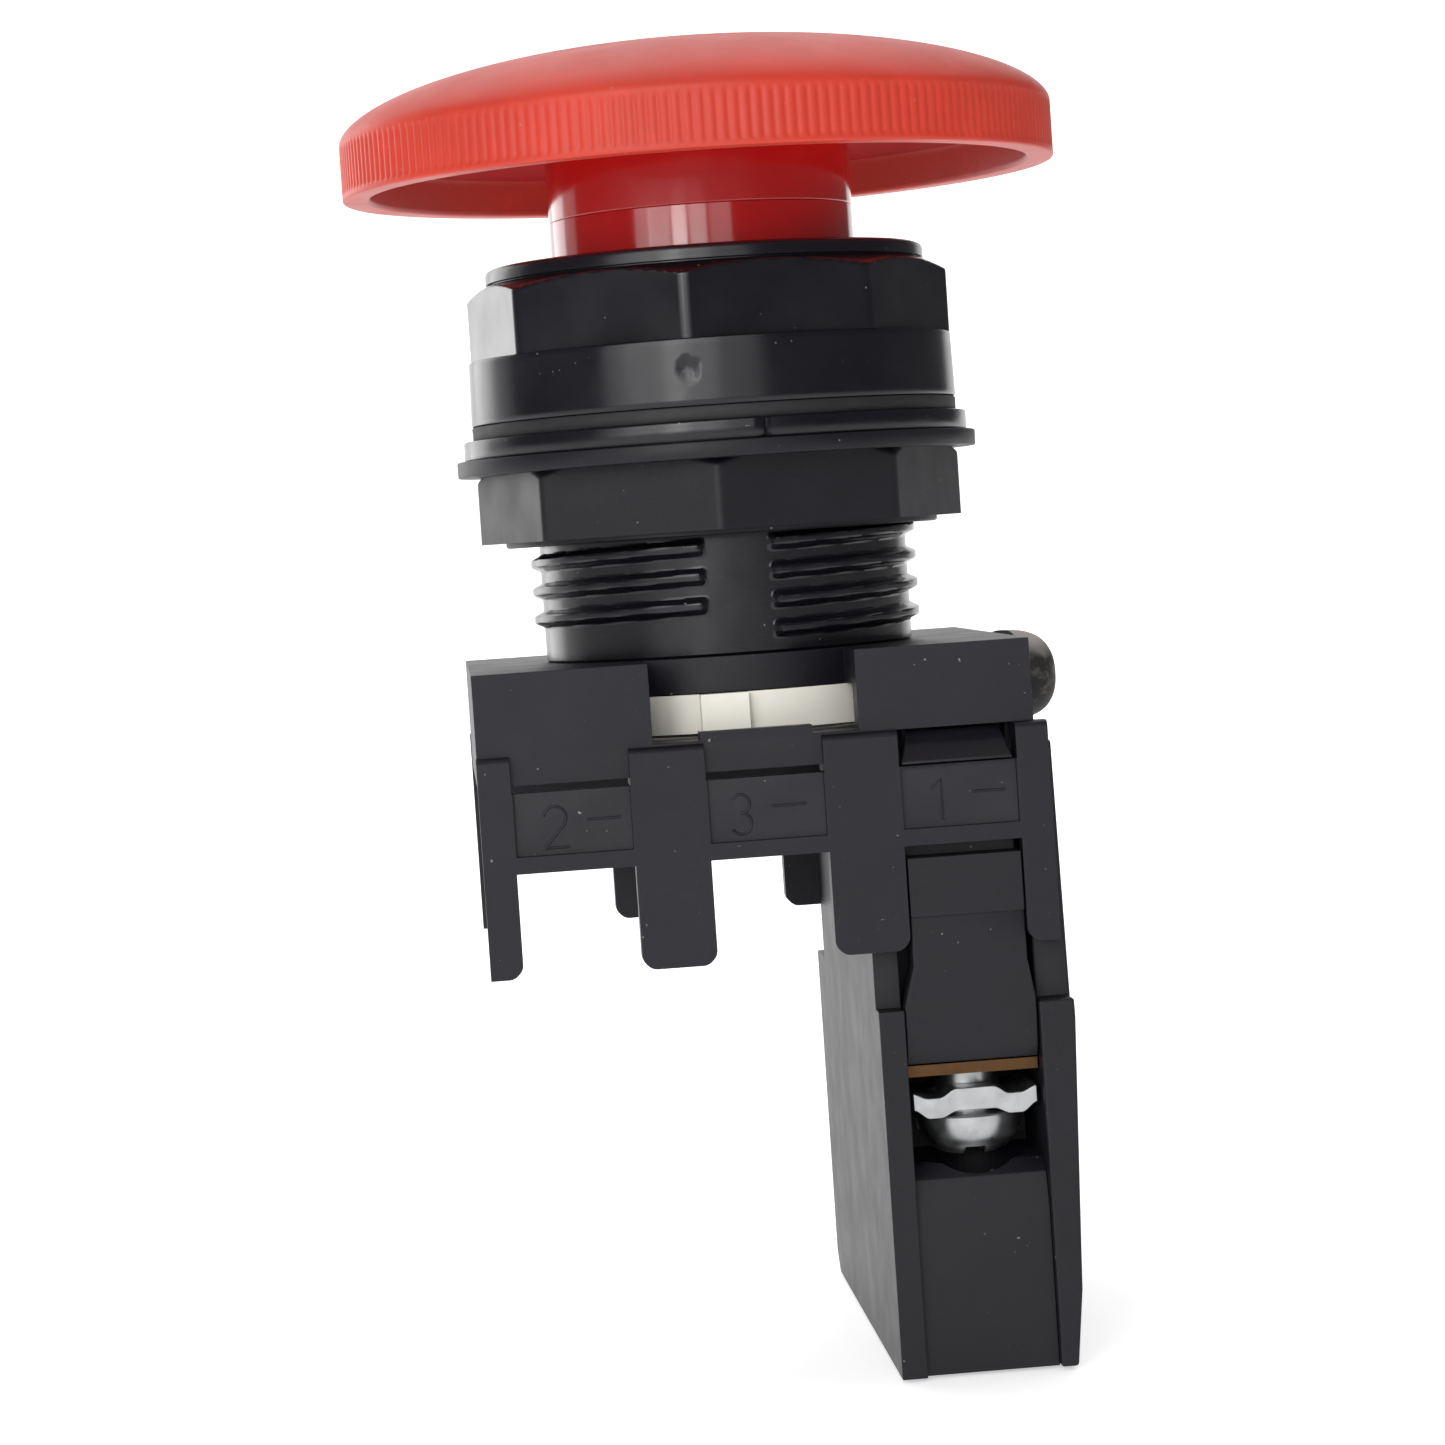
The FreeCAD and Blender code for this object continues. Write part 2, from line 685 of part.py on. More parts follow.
def lock_ring():
    """Ring that locks the barrel's lugs, with a raised lug and the seat of its lever."""
    ring = turned("lock_ring_body", [
        ("nose_radius + 0.15", "- lock_top - lock_step"), ("nose_radius + 0.15", "- lock_top"),
        ("lock_radius", "- lock_top"), ("lock_radius", "- lock_bottom"),
        ("lock_lug_bore", "- lock_bottom"), ("lock_lug_bore", "- lock_top - lock_step")])
    lug = box("lock_ring_lug", ("- lock_lug_width", "0"), ("- lock_lug_reach", "- lock_lug_bore - 0.1"),
              ("- lock_bottom", "- lock_top"))
    notches = []
    for place in range(3):
        notch = doc.addObject("Part::Cylinder", f"lock_ring_notch_{place}")
        notch.Placement.Rotation = rotation(Z_AXIS, DIMENSIONS["notch_turn"] + 120 * place)
        bind(notch, Angle="notch_arc", Radius="lock_lug_bore", Height="1",
             z="- lock_top - lock_step - fit_gap")
        notches.append(notch)
    seat = box("lock_ring_seat", ("lock_lug_bore + 0.1", "lever_outer"), ("- lever_half", "lever_half"),
               ("- lock_bottom + 0.25", "- lock_top - 0.2"))
    turned_seat = about_axis("lock_ring_seat_turned", seat, "lever_angle")
    blank = fuse("lock_ring_blank", ring, lug)
    return node(cut("lock_ring_solid", blank, turned_seat, *notches), "lock_ring")


def lock_lever():
    """Arm through the side wall and a rounded finger pad outside it."""
    arm = box("lock_lever_arm", ("lock_lug_bore + 0.12", "lever_inner + 0.4"),
              ("- lever_half + 0.02", "lever_half - 0.02"),
              ("- lock_bottom + 0.27", "- lock_top - 0.22"))
    pad = cylinder("lock_lever_disc", "lever_outer", "- lever_bottom", "- lever_top")
    inner = cylinder("lock_lever_inner", "lever_inner", "- lever_bottom - 1", "- lever_top + 1")
    rounding = doc.addObject("Part::Cylinder", "lock_lever_round")
    rounding.Placement.Rotation = rotation(Y_AXIS, 90)
    bind(rounding, Radius="lever_round", Height="lever_outer", z="- lever_middle")
    grip = cut("lock_lever_grip", common("lock_lever_pad", pad, rounding), inner)
    lever = fuse("lock_lever_solid", grip, arm)
    lever.Placement.Rotation = rotation(Z_AXIS, "lever_angle")
    return node(lever, "lock_lever")


def ring_retainer():
    plate = box("ring_retainer_plate", ("- retainer_half", "retainer_half"),
                ("- retainer_depth", "retainer_depth"), ("- retainer_bottom", "- retainer_top"))
    hole = cylinder("ring_retainer_hole", "retainer_bore", "- retainer_bottom - 1", "- retainer_top + 1")
    return node(cut("ring_retainer_solid", plate, hole), "ring_retainer")


# Contact block

def block_outline(front_neck, top):
    """Side outline of the block in the YZ plane, from the bottom up."""
    return [("- block_front", "- block_bottom"), ("block_back - back_corner", "- block_bottom"),
            ("block_back", "- block_bottom + back_corner"), ("block_back", "- block_ledge"),
            ("neck_front", "- block_ledge"), ("neck_front", top), (front_neck, top),
            (front_neck, "- block_ledge"), ("- block_front", "- block_ledge")]


def terminal_cavity(side, low, high):
    """Open front or back of the block with the room for plate, clamp and screw."""
    return box(f"terminal_{side}", ("inner_left", "block_right"), (low, high),
               ("- terminal_bottom", "- plate_top"))


def contact_housing():
    wall = padded("housing_wall", "YZ_Plane", block_outline("- neck_front", "- block_top"),
                  "block_left", "inner_left")
    core = padded("housing_middle", "YZ_Plane",
                  block_outline("- arm_gap", "- block_top"), "inner_left", "inner_right")
    blank = fuse("contact_housing_blank", wall, core)
    channel = box("plunger_channel", ("inner_left", "block_right"),
                  ("- plunger_half - channel_gap", "plunger_half + channel_gap"),
                  ("- channel_bottom", "- block_top + 1"))
    cavity = box("bridge_cavity", ("inner_left", "block_right"), ("- cavity_half", "cavity_half"),
                 ("- cavity_bottom", "- plate_top + 1.0"))
    slit = box("plate_slit", ("inner_left", "block_right"),
               ("- terminal_depth - 1", "terminal_depth + 3"), ("- plate_bottom", "- plate_top"))
    arm_room = box("latch_room", ("inner_left", "block_right"), ("- block_front - 1", "- arm_gap"),
                   ("- plate_top - 0.1", "- block_top + 1"))
    front_face = padded("front_relief", "YZ_Plane", [
        ("- block_front - 1", "- block_bottom - 1"), ("- relief_front", "- block_bottom - 1"),
        ("- relief_front", "- relief_start"), ("- relief_bend", "- relief_middle"),
        ("- relief_end", "- terminal_bottom"), ("- block_front - 1", "- terminal_bottom")],
        "inner_left", "block_right")
    back_face = box("back_relief", ("inner_left", "block_right"),
                    ("block_back - relief_back", "block_back + 1"), ("- block_bottom - 1", "- plate_top"))
    bores = [cylinder(f"driver_bore_{side}", "driver_bore", "- block_bottom - 1", "- terminal_bottom + 1",
                      x="screw_centre", y=y)
             for side, y in (("front", "- screw_front"), ("back", "screw_back"))]
    shanks = [cylinder(f"shank_hole_{side}", "shank_radius + 0.2", "- plate_top - 0.1", "- shank_top + 0.3",
                       x="screw_centre", y=y)
              for side, y in (("front", "- screw_front"), ("back", "screw_back"))]
    solid = cut("contact_housing_cut", blank, channel, cavity, slit, arm_room, front_face, back_face,
                terminal_cavity("front", "- block_front - 1", "- terminal_depth"),
                terminal_cavity("back", "terminal_depth + 2", "block_back + 1"), *bores, *shanks)
    neck = box("rear_hook_neck", ("hook_left", "hook_right"), ("hook_front", "hook_neck"),
               ("- block_top - 1", "- post_top - hook_gap"))
    hook = box("rear_hook", ("hook_left", "hook_right"), ("hook_front", "hook_back"),
               ("- bar_top + 0.1", "- post_top - hook_gap"))
    return node(fuse("contact_housing_solid", solid, neck, hook), "contact_housing")


def contact_cover():
    """Right side wall, slightly bowed, with a tongue beside the mounting block."""
    front = padded("cover_bow", "XZ_Plane", [
        ("inner_right", "- block_bottom"), ("cover_bottom", "- block_bottom"),
        ("cover_low", "- cover_low_height"), ("cover_middle", "- cover_middle_height"),
        ("cover_widest", "- cover_widest_height"), ("cover_high", "- cover_high_height"),
        ("cover_tongue", "- cover_top"), ("holder_half + 0.1", "- cover_top"),
        ("holder_half + 0.1", "- block_top"), ("inner_right", "- block_top")],
        "- block_front", "block_back")
    side = padded("cover_side", "YZ_Plane", block_outline("- neck_front", "- cover_top"),
                  "inner_right", "block_right + 1")
    return node(common("contact_cover_solid", front, side), "contact_cover")


def latch_arm():
    """Springy front arm: seen from the front it widens downwards, from the side it has
    a hook over the crossbar and a step under it."""
    side = padded("arm_side", "YZ_Plane", [
        ("- arm_foot", "- plate_top + 0.1"), ("- arm_back", "- plate_top + 0.1"),
        ("- arm_back", "- post_top - hook_gap"), ("- arm_crown", "- post_top - hook_gap"),
        ("- arm_nose", "- bar_top + 0.25"), ("- arm_nose", "- bar_top + 0.1"),
        ("- arm_front", "- bar_top + 0.1"), ("- arm_front", "- arm_shoulder"),
        ("- arm_shoulder_front", "- arm_shoulder"), ("- arm_shoulder_front", "- arm_step"),
        ("- arm_waist", "- arm_step"), ("- arm_belly", "- arm_belly_height"),
        ("- arm_knee", "- arm_knee_height")], "inner_left", "inner_right")
    face = padded("arm_face", "XZ_Plane", [
        ("inner_left + arm_gap_side", "- plate_bottom"), ("inner_right - arm_gap_side", "- plate_bottom"),
        ("inner_right - arm_gap_side", "- arm_wide"), ("arm_right", "- arm_narrow"),
        ("arm_right", "- arm_shoulder"), ("arm_hook_right", "- arm_shoulder"),
        ("arm_hook_right", "- arm_taper_height"), ("arm_tip_right", "- post_top"),
        ("arm_tip_left", "- post_top"), ("arm_left", "- arm_taper_height"), ("arm_left", "- arm_narrow"),
        ("inner_left + arm_gap_side", "- arm_wide")], "- arm_nose - 1", "- arm_back + 1")
    return node(common("latch_arm_solid", side, face), "latch_arm")


def contact_plunger():
    pad = box("plunger_pad", ("block_left + 0.2", "plunger_right"), ("- plunger_half", "plunger_half"),
              ("- plunger_top - 1", "- plunger_top"))
    neck = box("plunger_neck", ("inner_left + 0.17", "plunger_right"), ("- plunger_half", "plunger_half"),
               ("- block_top - 0.2", "- plunger_top"))
    stem = box("plunger_stem", ("inner_left + 0.17", "inner_right - 0.2"),
               ("- plunger_half", "plunger_half"),
               ("- plate_bottom - 2 * tip_thick", "- block_top - 0.1"))
    return node(fuse("contact_plunger_solid", pad, neck, stem), "contact_plunger")


def contact_bridge():
    top = "- plate_bottom - 2 * tip_thick"
    return node(box("contact_bridge_plate", ("screw_centre - 1.2", "screw_centre + 1.2"),
                    ("- bridge_half", "bridge_half"), (f"{top} - bridge_thick", top)), "contact_bridge")


def tips(name, low, high):
    pieces = [cylinder(f"{name}_{side}", "tip_radius", low, high, x="screw_centre", y=y)
              for side, y in (("front", "- tip_offset"), ("back", "tip_offset"))]
    return node(fuse(name + "_pair", *pieces), name)


def contact_spring():
    return node(coil("contact_spring_coil", "contact_coil", "contact_wire", "contact_turns",
                     "- cavity_bottom", "- plate_bottom - 2 * tip_thick - bridge_thick",
                     x="screw_centre"), "contact_spring")


def fixed_contact(side, limits, screw):
    """Brass strip from the terminal to the contact tip."""
    strip = box(f"fixed_contact_{side}_strip", ("inner_left + 0.05", "inner_right - 0.1"), limits,
                ("- plate_bottom", "- plate_top"))
    hole = cylinder(f"fixed_contact_{side}_hole", "shank_radius + 0.02", "- plate_bottom - 1",
                    "- plate_top + 1", x="screw_centre", y=screw)
    return node(cut(f"fixed_contact_{side}_solid", strip, hole), f"fixed_contact_{side}")


def saddle_clamp(side, screw):
    """Wavy clamp plate that grips the wires under the screw head."""
    plate = padded(f"saddle_{side}_plate", "XZ_Plane", [
        ("clamp_left", "- clamp_edge"), ("screw_centre - dip_inner", "- clamp_dip"),
        ("screw_centre - crest_half", "- clamp_crest"), ("screw_centre + crest_half", "- clamp_crest"),
        ("screw_centre + dip_inner", "- clamp_dip"), ("clamp_right", "- clamp_edge"),
        ("clamp_right", "- clamp_edge_low"), ("screw_centre + dip_outer", "- clamp_dip_low"),
        ("screw_centre + dip_inner", "- clamp_dip_low"),
        ("screw_centre + crest_half", "- clamp_crest_low"),
        ("screw_centre - crest_half", "- clamp_crest_low"),
        ("screw_centre - dip_inner", "- clamp_dip_low"), ("screw_centre - dip_outer", "- clamp_dip_low"),
        ("clamp_left", "- clamp_edge_low")], "- clamp_front", "- clamp_back")
    if side == "rear":
        plate.setExpression("Placement.Base.y", formula("screw_front + screw_back"))
    hole = cylinder(f"saddle_{side}_hole", "shank_radius + 0.15", "- clamp_bottom - 1",
                    "- clamp_crest + 1", x="screw_centre", y=screw)
    return node(cut(f"saddle_{side}_solid", plate, hole), f"saddle_clamp_{side}")


def terminal_screw(side, screw):
    """Screw with a domed head that faces down and a cross slot in it."""
    low = "- head_screw_bottom"
    shank = cylinder(f"screw_{side}_shank", "shank_radius", "- clamp_bottom", "- shank_top",
                     x="screw_centre", y=screw)
    washer = cylinder(f"screw_{side}_head", "head_screw_radius", f"{low} + cross_depth",
                      "- clamp_bottom", x="screw_centre", y=screw)
    dome = cone(f"screw_{side}_dome", "head_screw_radius - screw_dome", "head_screw_radius", low,
                f"{low} + cross_depth", x="screw_centre", y=screw)
    across = (f"{screw} - cross_half", f"{screw} + cross_half")
    slot = box(f"screw_{side}_slot", ("screw_centre - head_screw_radius - 1",
                                      "screw_centre + head_screw_radius + 1"), across,
               (f"{low} - 1", f"{low} + cross_depth - 0.1"))
    cross = box(f"screw_{side}_cross", ("screw_centre - cross_half", "screw_centre + cross_half"),
                (f"{screw} - cross_reach", f"{screw} + cross_reach"),
                (f"{low} - 1", f"{low} + cross_depth + 0.1"))
    blank = fuse(f"screw_{side}_blank", shank, washer, dome)
    return node(cut(f"screw_{side}_solid", blank, slot, cross), f"terminal_screw_{side}")


mushroom_head()
operator_stem()
latch_pins()
pusher()
pusher_clip()
return_spring()
operator_housing()
latch_sleeve()
end_cap()
stem_seal()
panel_gasket()
spacer_ring()
thrust_washer()
lock_nut()
contact_holder()
lock_ring()
lock_lever()
ring_retainer()
contact_housing()
contact_cover()
latch_arm()
contact_plunger()
contact_bridge()
tips("bridge_tips", "- plate_bottom - 2 * tip_thick", "- plate_bottom - tip_thick")
tips("fixed_tips", "- plate_bottom - tip_thick", "- plate_bottom")
contact_spring()
fixed_contact("front", ("- fixed_front_end", "- fixed_inner"), "- screw_front")
fixed_contact("rear", ("fixed_inner", "fixed_rear_end"), "screw_back")
saddle_clamp("front", "- screw_front")
saddle_clamp("rear", "screw_back")
terminal_screw("front", "- screw_front")
terminal_screw("rear", "screw_back")

doc.recompute()

failed = [item.Label for item in doc.Objects if {"Invalid", "Error"} & set(item.State)]
assert not failed, f"failed objects: {failed}"
for item in NODES:
    shape = item.Shape
    assert not shape.isNull() and shape.isValid() and shape.Volume > 0, item.Label

os.makedirs("parts", exist_ok=True)
for item in NODES:
    item.Shape.exportStep(f"parts/{item.Label}.step")
    print(f"{item.Label}: {len(item.Shape.Solids)} solid(s), {item.Shape.Volume:.2f} mm3")
print(len(NODES), "pieces")
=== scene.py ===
import math

import bmesh
import bpy
from mathutils import Matrix, Vector, noise


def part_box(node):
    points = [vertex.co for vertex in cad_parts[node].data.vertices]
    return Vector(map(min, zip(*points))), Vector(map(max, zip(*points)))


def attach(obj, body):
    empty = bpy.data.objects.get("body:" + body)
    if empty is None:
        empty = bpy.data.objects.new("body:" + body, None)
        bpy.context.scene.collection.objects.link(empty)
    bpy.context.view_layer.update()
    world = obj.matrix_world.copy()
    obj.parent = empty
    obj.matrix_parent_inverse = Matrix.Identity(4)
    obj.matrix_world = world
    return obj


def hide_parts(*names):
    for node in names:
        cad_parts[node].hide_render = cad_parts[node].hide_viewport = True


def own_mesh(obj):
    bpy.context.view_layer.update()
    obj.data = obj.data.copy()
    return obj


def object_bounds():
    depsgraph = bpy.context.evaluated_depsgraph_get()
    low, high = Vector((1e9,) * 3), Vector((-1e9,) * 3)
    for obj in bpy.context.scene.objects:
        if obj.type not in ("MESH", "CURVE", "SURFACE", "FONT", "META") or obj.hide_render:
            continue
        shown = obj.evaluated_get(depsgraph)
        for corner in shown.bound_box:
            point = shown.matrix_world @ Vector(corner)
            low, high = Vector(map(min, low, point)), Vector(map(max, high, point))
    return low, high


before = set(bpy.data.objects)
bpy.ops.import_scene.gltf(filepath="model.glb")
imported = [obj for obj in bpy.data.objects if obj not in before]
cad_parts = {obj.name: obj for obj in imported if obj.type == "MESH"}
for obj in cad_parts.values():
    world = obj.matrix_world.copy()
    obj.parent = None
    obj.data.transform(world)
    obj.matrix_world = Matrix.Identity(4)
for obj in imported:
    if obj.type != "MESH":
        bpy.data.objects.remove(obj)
cad_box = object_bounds()

MM = 0.001


def low(node, axis):
    """Lowest coordinate of a CAD node in millimetres."""
    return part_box(node)[0][axis] / MM


def high(node, axis):
    """Highest coordinate of a CAD node in millimetres."""
    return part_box(node)[1][axis] / MM


# Materials

def linear(colour):
    """Linear values of a colour given as 0 to 255 display values."""
    return tuple(pow((c / 255 + 0.055) / 1.055, 2.4) if c > 10 else c / 255 / 12.92 for c in colour)


class Graph:
    """A material's node tree with short calls for the nodes that repeat."""

    def __init__(self, name):
        self.material = bpy.data.materials.new(name)
        self.material.use_nodes = True
        self.nodes = self.material.node_tree.nodes
        self.links = self.material.node_tree.links
        self.shader = self.nodes["Principled BSDF"]
        self.place = self.nodes.new("ShaderNodeTexCoord").outputs["Object"]

    def stretched(self, scale):
        """Object coordinates scaled along each axis."""
        mapping = self.nodes.new("ShaderNodeMapping")
        mapping.inputs["Scale"].default_value = scale
        self.links.new(self.place, mapping.inputs["Vector"])
        return mapping.outputs["Vector"]

    def noise(self, size_mm, detail=3.0, rough=0.5, vector=None):
        """Noise whose features are about size_mm across."""
        texture = self.nodes.new("ShaderNodeTexNoise")
        texture.inputs["Scale"].default_value = 1.0 / (size_mm * MM)
        texture.inputs["Detail"].default_value = detail
        texture.inputs["Roughness"].default_value = rough
        self.links.new(vector or self.place, texture.inputs["Vector"])
        return texture.outputs["Fac"]

    def ranged(self, value, start, end, out_start, out_end):
        """Value mapped from one range to another and held at its ends."""
        node = self.nodes.new("ShaderNodeMapRange")
        for key, number in zip(("From Min", "From Max", "To Min", "To Max"),
                               (start, end, out_start, out_end)):
            node.inputs[key].default_value = number
        self.links.new(value, node.inputs["Value"])
        return node.outputs["Result"]

    def mixed(self, factor, first, second):
        """Colour between first and second, each a colour or another node's output."""
        node = self.nodes.new("ShaderNodeMix")
        node.data_type = "RGBA"
        self.links.new(factor, node.inputs["Factor"])
        for socket, colour in ((node.inputs[6], first), (node.inputs[7], second)):
            if isinstance(colour, tuple):
                socket.default_value = (*colour, 1)
            else:
                self.links.new(colour, socket)
        return node.outputs[2]

    def bumped(self, height, depth_mm, strength=1.0, under=None):
        """Normal of a relief of the given depth, over another normal if there is one."""
        node = self.nodes.new("ShaderNodeBump")
        node.inputs["Distance"].default_value = depth_mm * MM
        node.inputs["Strength"].default_value = strength
        self.links.new(height, node.inputs["Height"])
        if under is not None:
            self.links.new(under, node.inputs["Normal"])
        return node.outputs["Normal"]

    def finish(self, colour=None, roughness=None, normal=None, **sockets):
        """The material, with outputs linked to its shader and constants set on it."""
        for key, value in (("Base Color", colour), ("Roughness", roughness), ("Normal", normal)):
            if value is not None:
                self.links.new(value, self.shader.inputs[key])
        for key, value in sockets.items():
            self.shader.inputs[key.replace("_", " ")].default_value = value
        return self.material


DUST = (170, 165, 160)


def moulded(name, colour, rough, grain_mm, grain_depth, dust=0.0, variation=0.12, **sockets):
    """Moulded plastic: slow colour drift, fine surface grain, a few dust specks and
    scuffs, and a roughness that wanders with them."""
    g = Graph(name)
    base = linear(colour)
    dark = tuple(c * (1 - variation) for c in base)
    light = tuple(min(1, c * (1 + variation)) for c in base)
    drift = g.ranged(g.noise(7.0, 4), 0.35, 0.65, 0, 1)
    tone = g.mixed(drift, dark, light)
    scuff = g.ranged(g.noise(2.2, 6, 0.65), 0.56, 0.76, 0, 0.3)
    tone = g.mixed(scuff, tone, tuple(min(1, c * 1.5 + 0.004) for c in base))
    if dust:
        speck = g.ranged(g.noise(0.34, 1.5), 0.765, 0.81, 0, dust)
        tone = g.mixed(speck, tone, linear(DUST))
    grain = g.noise(grain_mm, 2)
    roughness = g.ranged(g.noise(3.0, 5), 0.3, 0.7, rough - 0.03, rough + 0.05)
    waves = g.bumped(g.noise(5.0, 2), 0.006, 0.3)
    normal = g.bumped(grain, grain_depth, 0.6, waves)
    return g.finish(tone, roughness, normal, **sockets)


def metal(name, colour, rough, brush, scratch_mm=0.5):
    """Metal with brushed streaks along one direction and small bright scratches."""
    g = Graph(name)
    base = linear(colour)
    streak = g.noise(scratch_mm, 5, 0.6, g.stretched(brush))
    tone = g.mixed(g.ranged(streak, 0.3, 0.7, 0, 1), tuple(c * 0.78 for c in base), base)
    tarnish = g.ranged(g.noise(1.6, 4), 0.55, 0.72, 0, 0.45)
    tone = g.mixed(tarnish, tone, tuple(c * 0.5 for c in base))
    roughness = g.ranged(streak, 0.3, 0.7, rough - 0.06, rough + 0.12)
    return g.finish(tone, roughness, g.bumped(streak, 0.012, 0.5), Metallic=1.0)


def dust_and_painted_top_light(name, colour, dust, rough):
    """Worn plastic, paler on what faces up as painted top light, and with pale dust in scuffed patches.
    """
    g = Graph(name)
    facing = g.nodes.new("ShaderNodeSeparateXYZ")
    g.links.new(g.nodes.new("ShaderNodeNewGeometry").outputs["Normal"], facing.inputs[0])
    # Faces turned up are mixed towards the pale tone: painted top light, not dust.
    tone = g.mixed(g.ranged(facing.outputs["Z"], 0.25, 0.85, 0, 1), linear(colour), linear(dust))
    tone = g.mixed(g.ranged(g.noise(1.3, 6, 0.65), 0.52, 0.72, 0, 0.35), tone, linear(dust))
    normal = g.bumped(g.noise(0.12, 2), 0.012, 0.6)
    return g.finish(tone, None, normal, Roughness=rough, Specular_IOR_Level=0.3)


RED = moulded("red_plastic", (197, 58, 42), rough=0.44, grain_mm=0.16, grain_depth=0.008,
              dust=0.2, variation=0.06, Specular_IOR_Level=0.36)
# Darker, deeper red for the underside of the head: painted shade on the same red plastic as the top.
UNDERSIDE_RED_PAINTED_SHADE = moulded("underside_red_plastic_painted_shade", (184, 16, 15), rough=0.5, grain_mm=0.2, grain_depth=0.006,
                    variation=0.05, Specular_IOR_Level=0.25)
NECK_RED = moulded("neck_red_plastic", (180, 20, 20), rough=0.12, grain_mm=0.3, grain_depth=0.002,
                   variation=0.05, Coat_Weight=0.5, Coat_Roughness=0.08)
GLOSS_BLACK = moulded("gloss_black_plastic", (18, 18, 24), rough=0.21, grain_mm=0.2, grain_depth=0.004,
                      dust=0.5, Specular_IOR_Level=0.42)
MATTE_BLACK = moulded("matte_black_plastic", (18, 18, 25), rough=0.46, grain_mm=0.14, grain_depth=0.010,
                      dust=0.45, Specular_IOR_Level=0.31)
HOLDER_BLACK = moulded("holder_black_plastic", (20, 20, 28), rough=0.45, grain_mm=0.12,
                       grain_depth=0.012, dust=0.5, Specular_IOR_Level=0.32)
RUBBER = moulded("gasket_rubber", (24, 24, 27), rough=0.6, grain_mm=0.1, grain_depth=0.02, dust=0.4)
IVORY = moulded("ivory_plastic", (250, 247, 234), rough=0.38, grain_mm=0.2, grain_depth=0.004,
                variation=0.03)
# The pale tone serves both as dust in the scuffed patches and as painted top light on what faces up.
LEVER_BLACK = dust_and_painted_top_light("lever_plastic_dust_and_painted_top_light", (34, 32, 31), (160, 154, 150), rough=0.62)
BRASS = metal("brass_strip", (96, 70, 48), rough=0.45, brush=(0.2, 1, 4), scratch_mm=0.6)
ZINC = metal("zinc_plated_steel", (188, 190, 191), rough=0.31, brush=(1, 1, 1), scratch_mm=0.9)
SPRING = metal("spring_steel", (176, 178, 182), rough=0.28, brush=(1, 1, 3))
SILVER = metal("silver_tip_metal", (214, 212, 206), rough=0.24, brush=(1, 1, 1))

FINISH = {
    "latch_pins": SPRING, "pusher": IVORY, "pusher_clip": SPRING,
    "latch_sleeve": MATTE_BLACK, "end_cap": MATTE_BLACK,
    "stem_seal": RUBBER, "ring_retainer": MATTE_BLACK,
    "contact_plunger": IVORY, "contact_bridge": BRASS, "bridge_tips": SILVER, "fixed_tips": SILVER,
    "fixed_contact_front": BRASS, "fixed_contact_rear": BRASS,
}
for node_name, finish in FINISH.items():
    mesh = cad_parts[node_name].data
    mesh.materials.clear()
    mesh.materials.append(finish)


# Mesh helpers

def shown(name, mesh, material, body, replaced=(), smooth_angle=35):
    """Object of a finished mesh that rides on a body and stands for CAD nodes."""
    piece = bpy.data.objects.new(name, mesh)
    bpy.context.scene.collection.objects.link(piece)
    mesh.materials.append(material)
    mesh.shade_smooth()
    mesh.set_sharp_from_angle(angle=math.radians(smooth_angle))
    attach(piece, body)
    if replaced:
        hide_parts(*replaced)
    return piece


def rounded_path(corners, steps=5):
    """Open or closed path of (radius, height, rounding) corners with each corner
    replaced by a small arc."""
    path = []
    count = len(corners)
    for i, (r, z, size) in enumerate(corners):
        point = Vector((r, z))
        if size <= 0:
            path.append(point)
            continue
        before = Vector(corners[i - 1][:2]) - point
        after = Vector(corners[(i + 1) % count][:2]) - point
        half = before.angle(after) / 2
        reach = min(size / math.tan(half), 0.48 * before.length, 0.48 * after.length)
        start = point + before.normalized() * reach
        end = point + after.normalized() * reach
        for k in range(steps + 1):
            t = k / steps
            path.append((1 - t) ** 2 * start + 2 * t * (1 - t) * point + t * t * end)
    return path


def skin(name, rows, segments, material, body, replaced=(), smooth_angle=35, closed=True):
    """Closed surface round the Z axis. Each row is (radius, height), and both may be a
    function of the angle; a row of radius 0 is one point."""
    bm = bmesh.new()
    rings = []
    for radius, height in rows:
        if radius == 0:
            rings.append([bm.verts.new((0, 0, height * MM))])
            continue
        ring = []
        for k in range(segments):
            angle = 2 * math.pi * k / segments
            r = radius(angle) if callable(radius) else radius
            z = height(angle) if callable(height) else height
            ring.append(bm.verts.new((r * math.cos(angle) * MM, r * math.sin(angle) * MM, z * MM)))
        rings.append(ring)
    pairs = list(zip(rings, rings[1:]))
    if closed:
        pairs.append((rings[-1], rings[0]))
    for one, two in pairs:
        for k in range(segments):
            n = (k + 1) % segments
            corners = [one[k % len(one)], one[n % len(one)], two[n % len(two)], two[k % len(two)]]
            unique = list(dict.fromkeys(corners))
            if len(unique) > 2:
                bm.faces.new(unique)
    bmesh.ops.recalc_face_normals(bm, faces=bm.faces)
    mesh = bpy.data.meshes.new(name)
    bm.to_mesh(mesh)
    bm.free()
    return shown(name, mesh, material, body, replaced, smooth_angle)


WELD_DISTANCE = 2e-6
FLAT_ANGLE = math.radians(0.6)
SHARP_ANGLE = math.radians(32)
CHAMFER_ANGLE = math.radians(60)
ROUND_SEGMENTS = 3


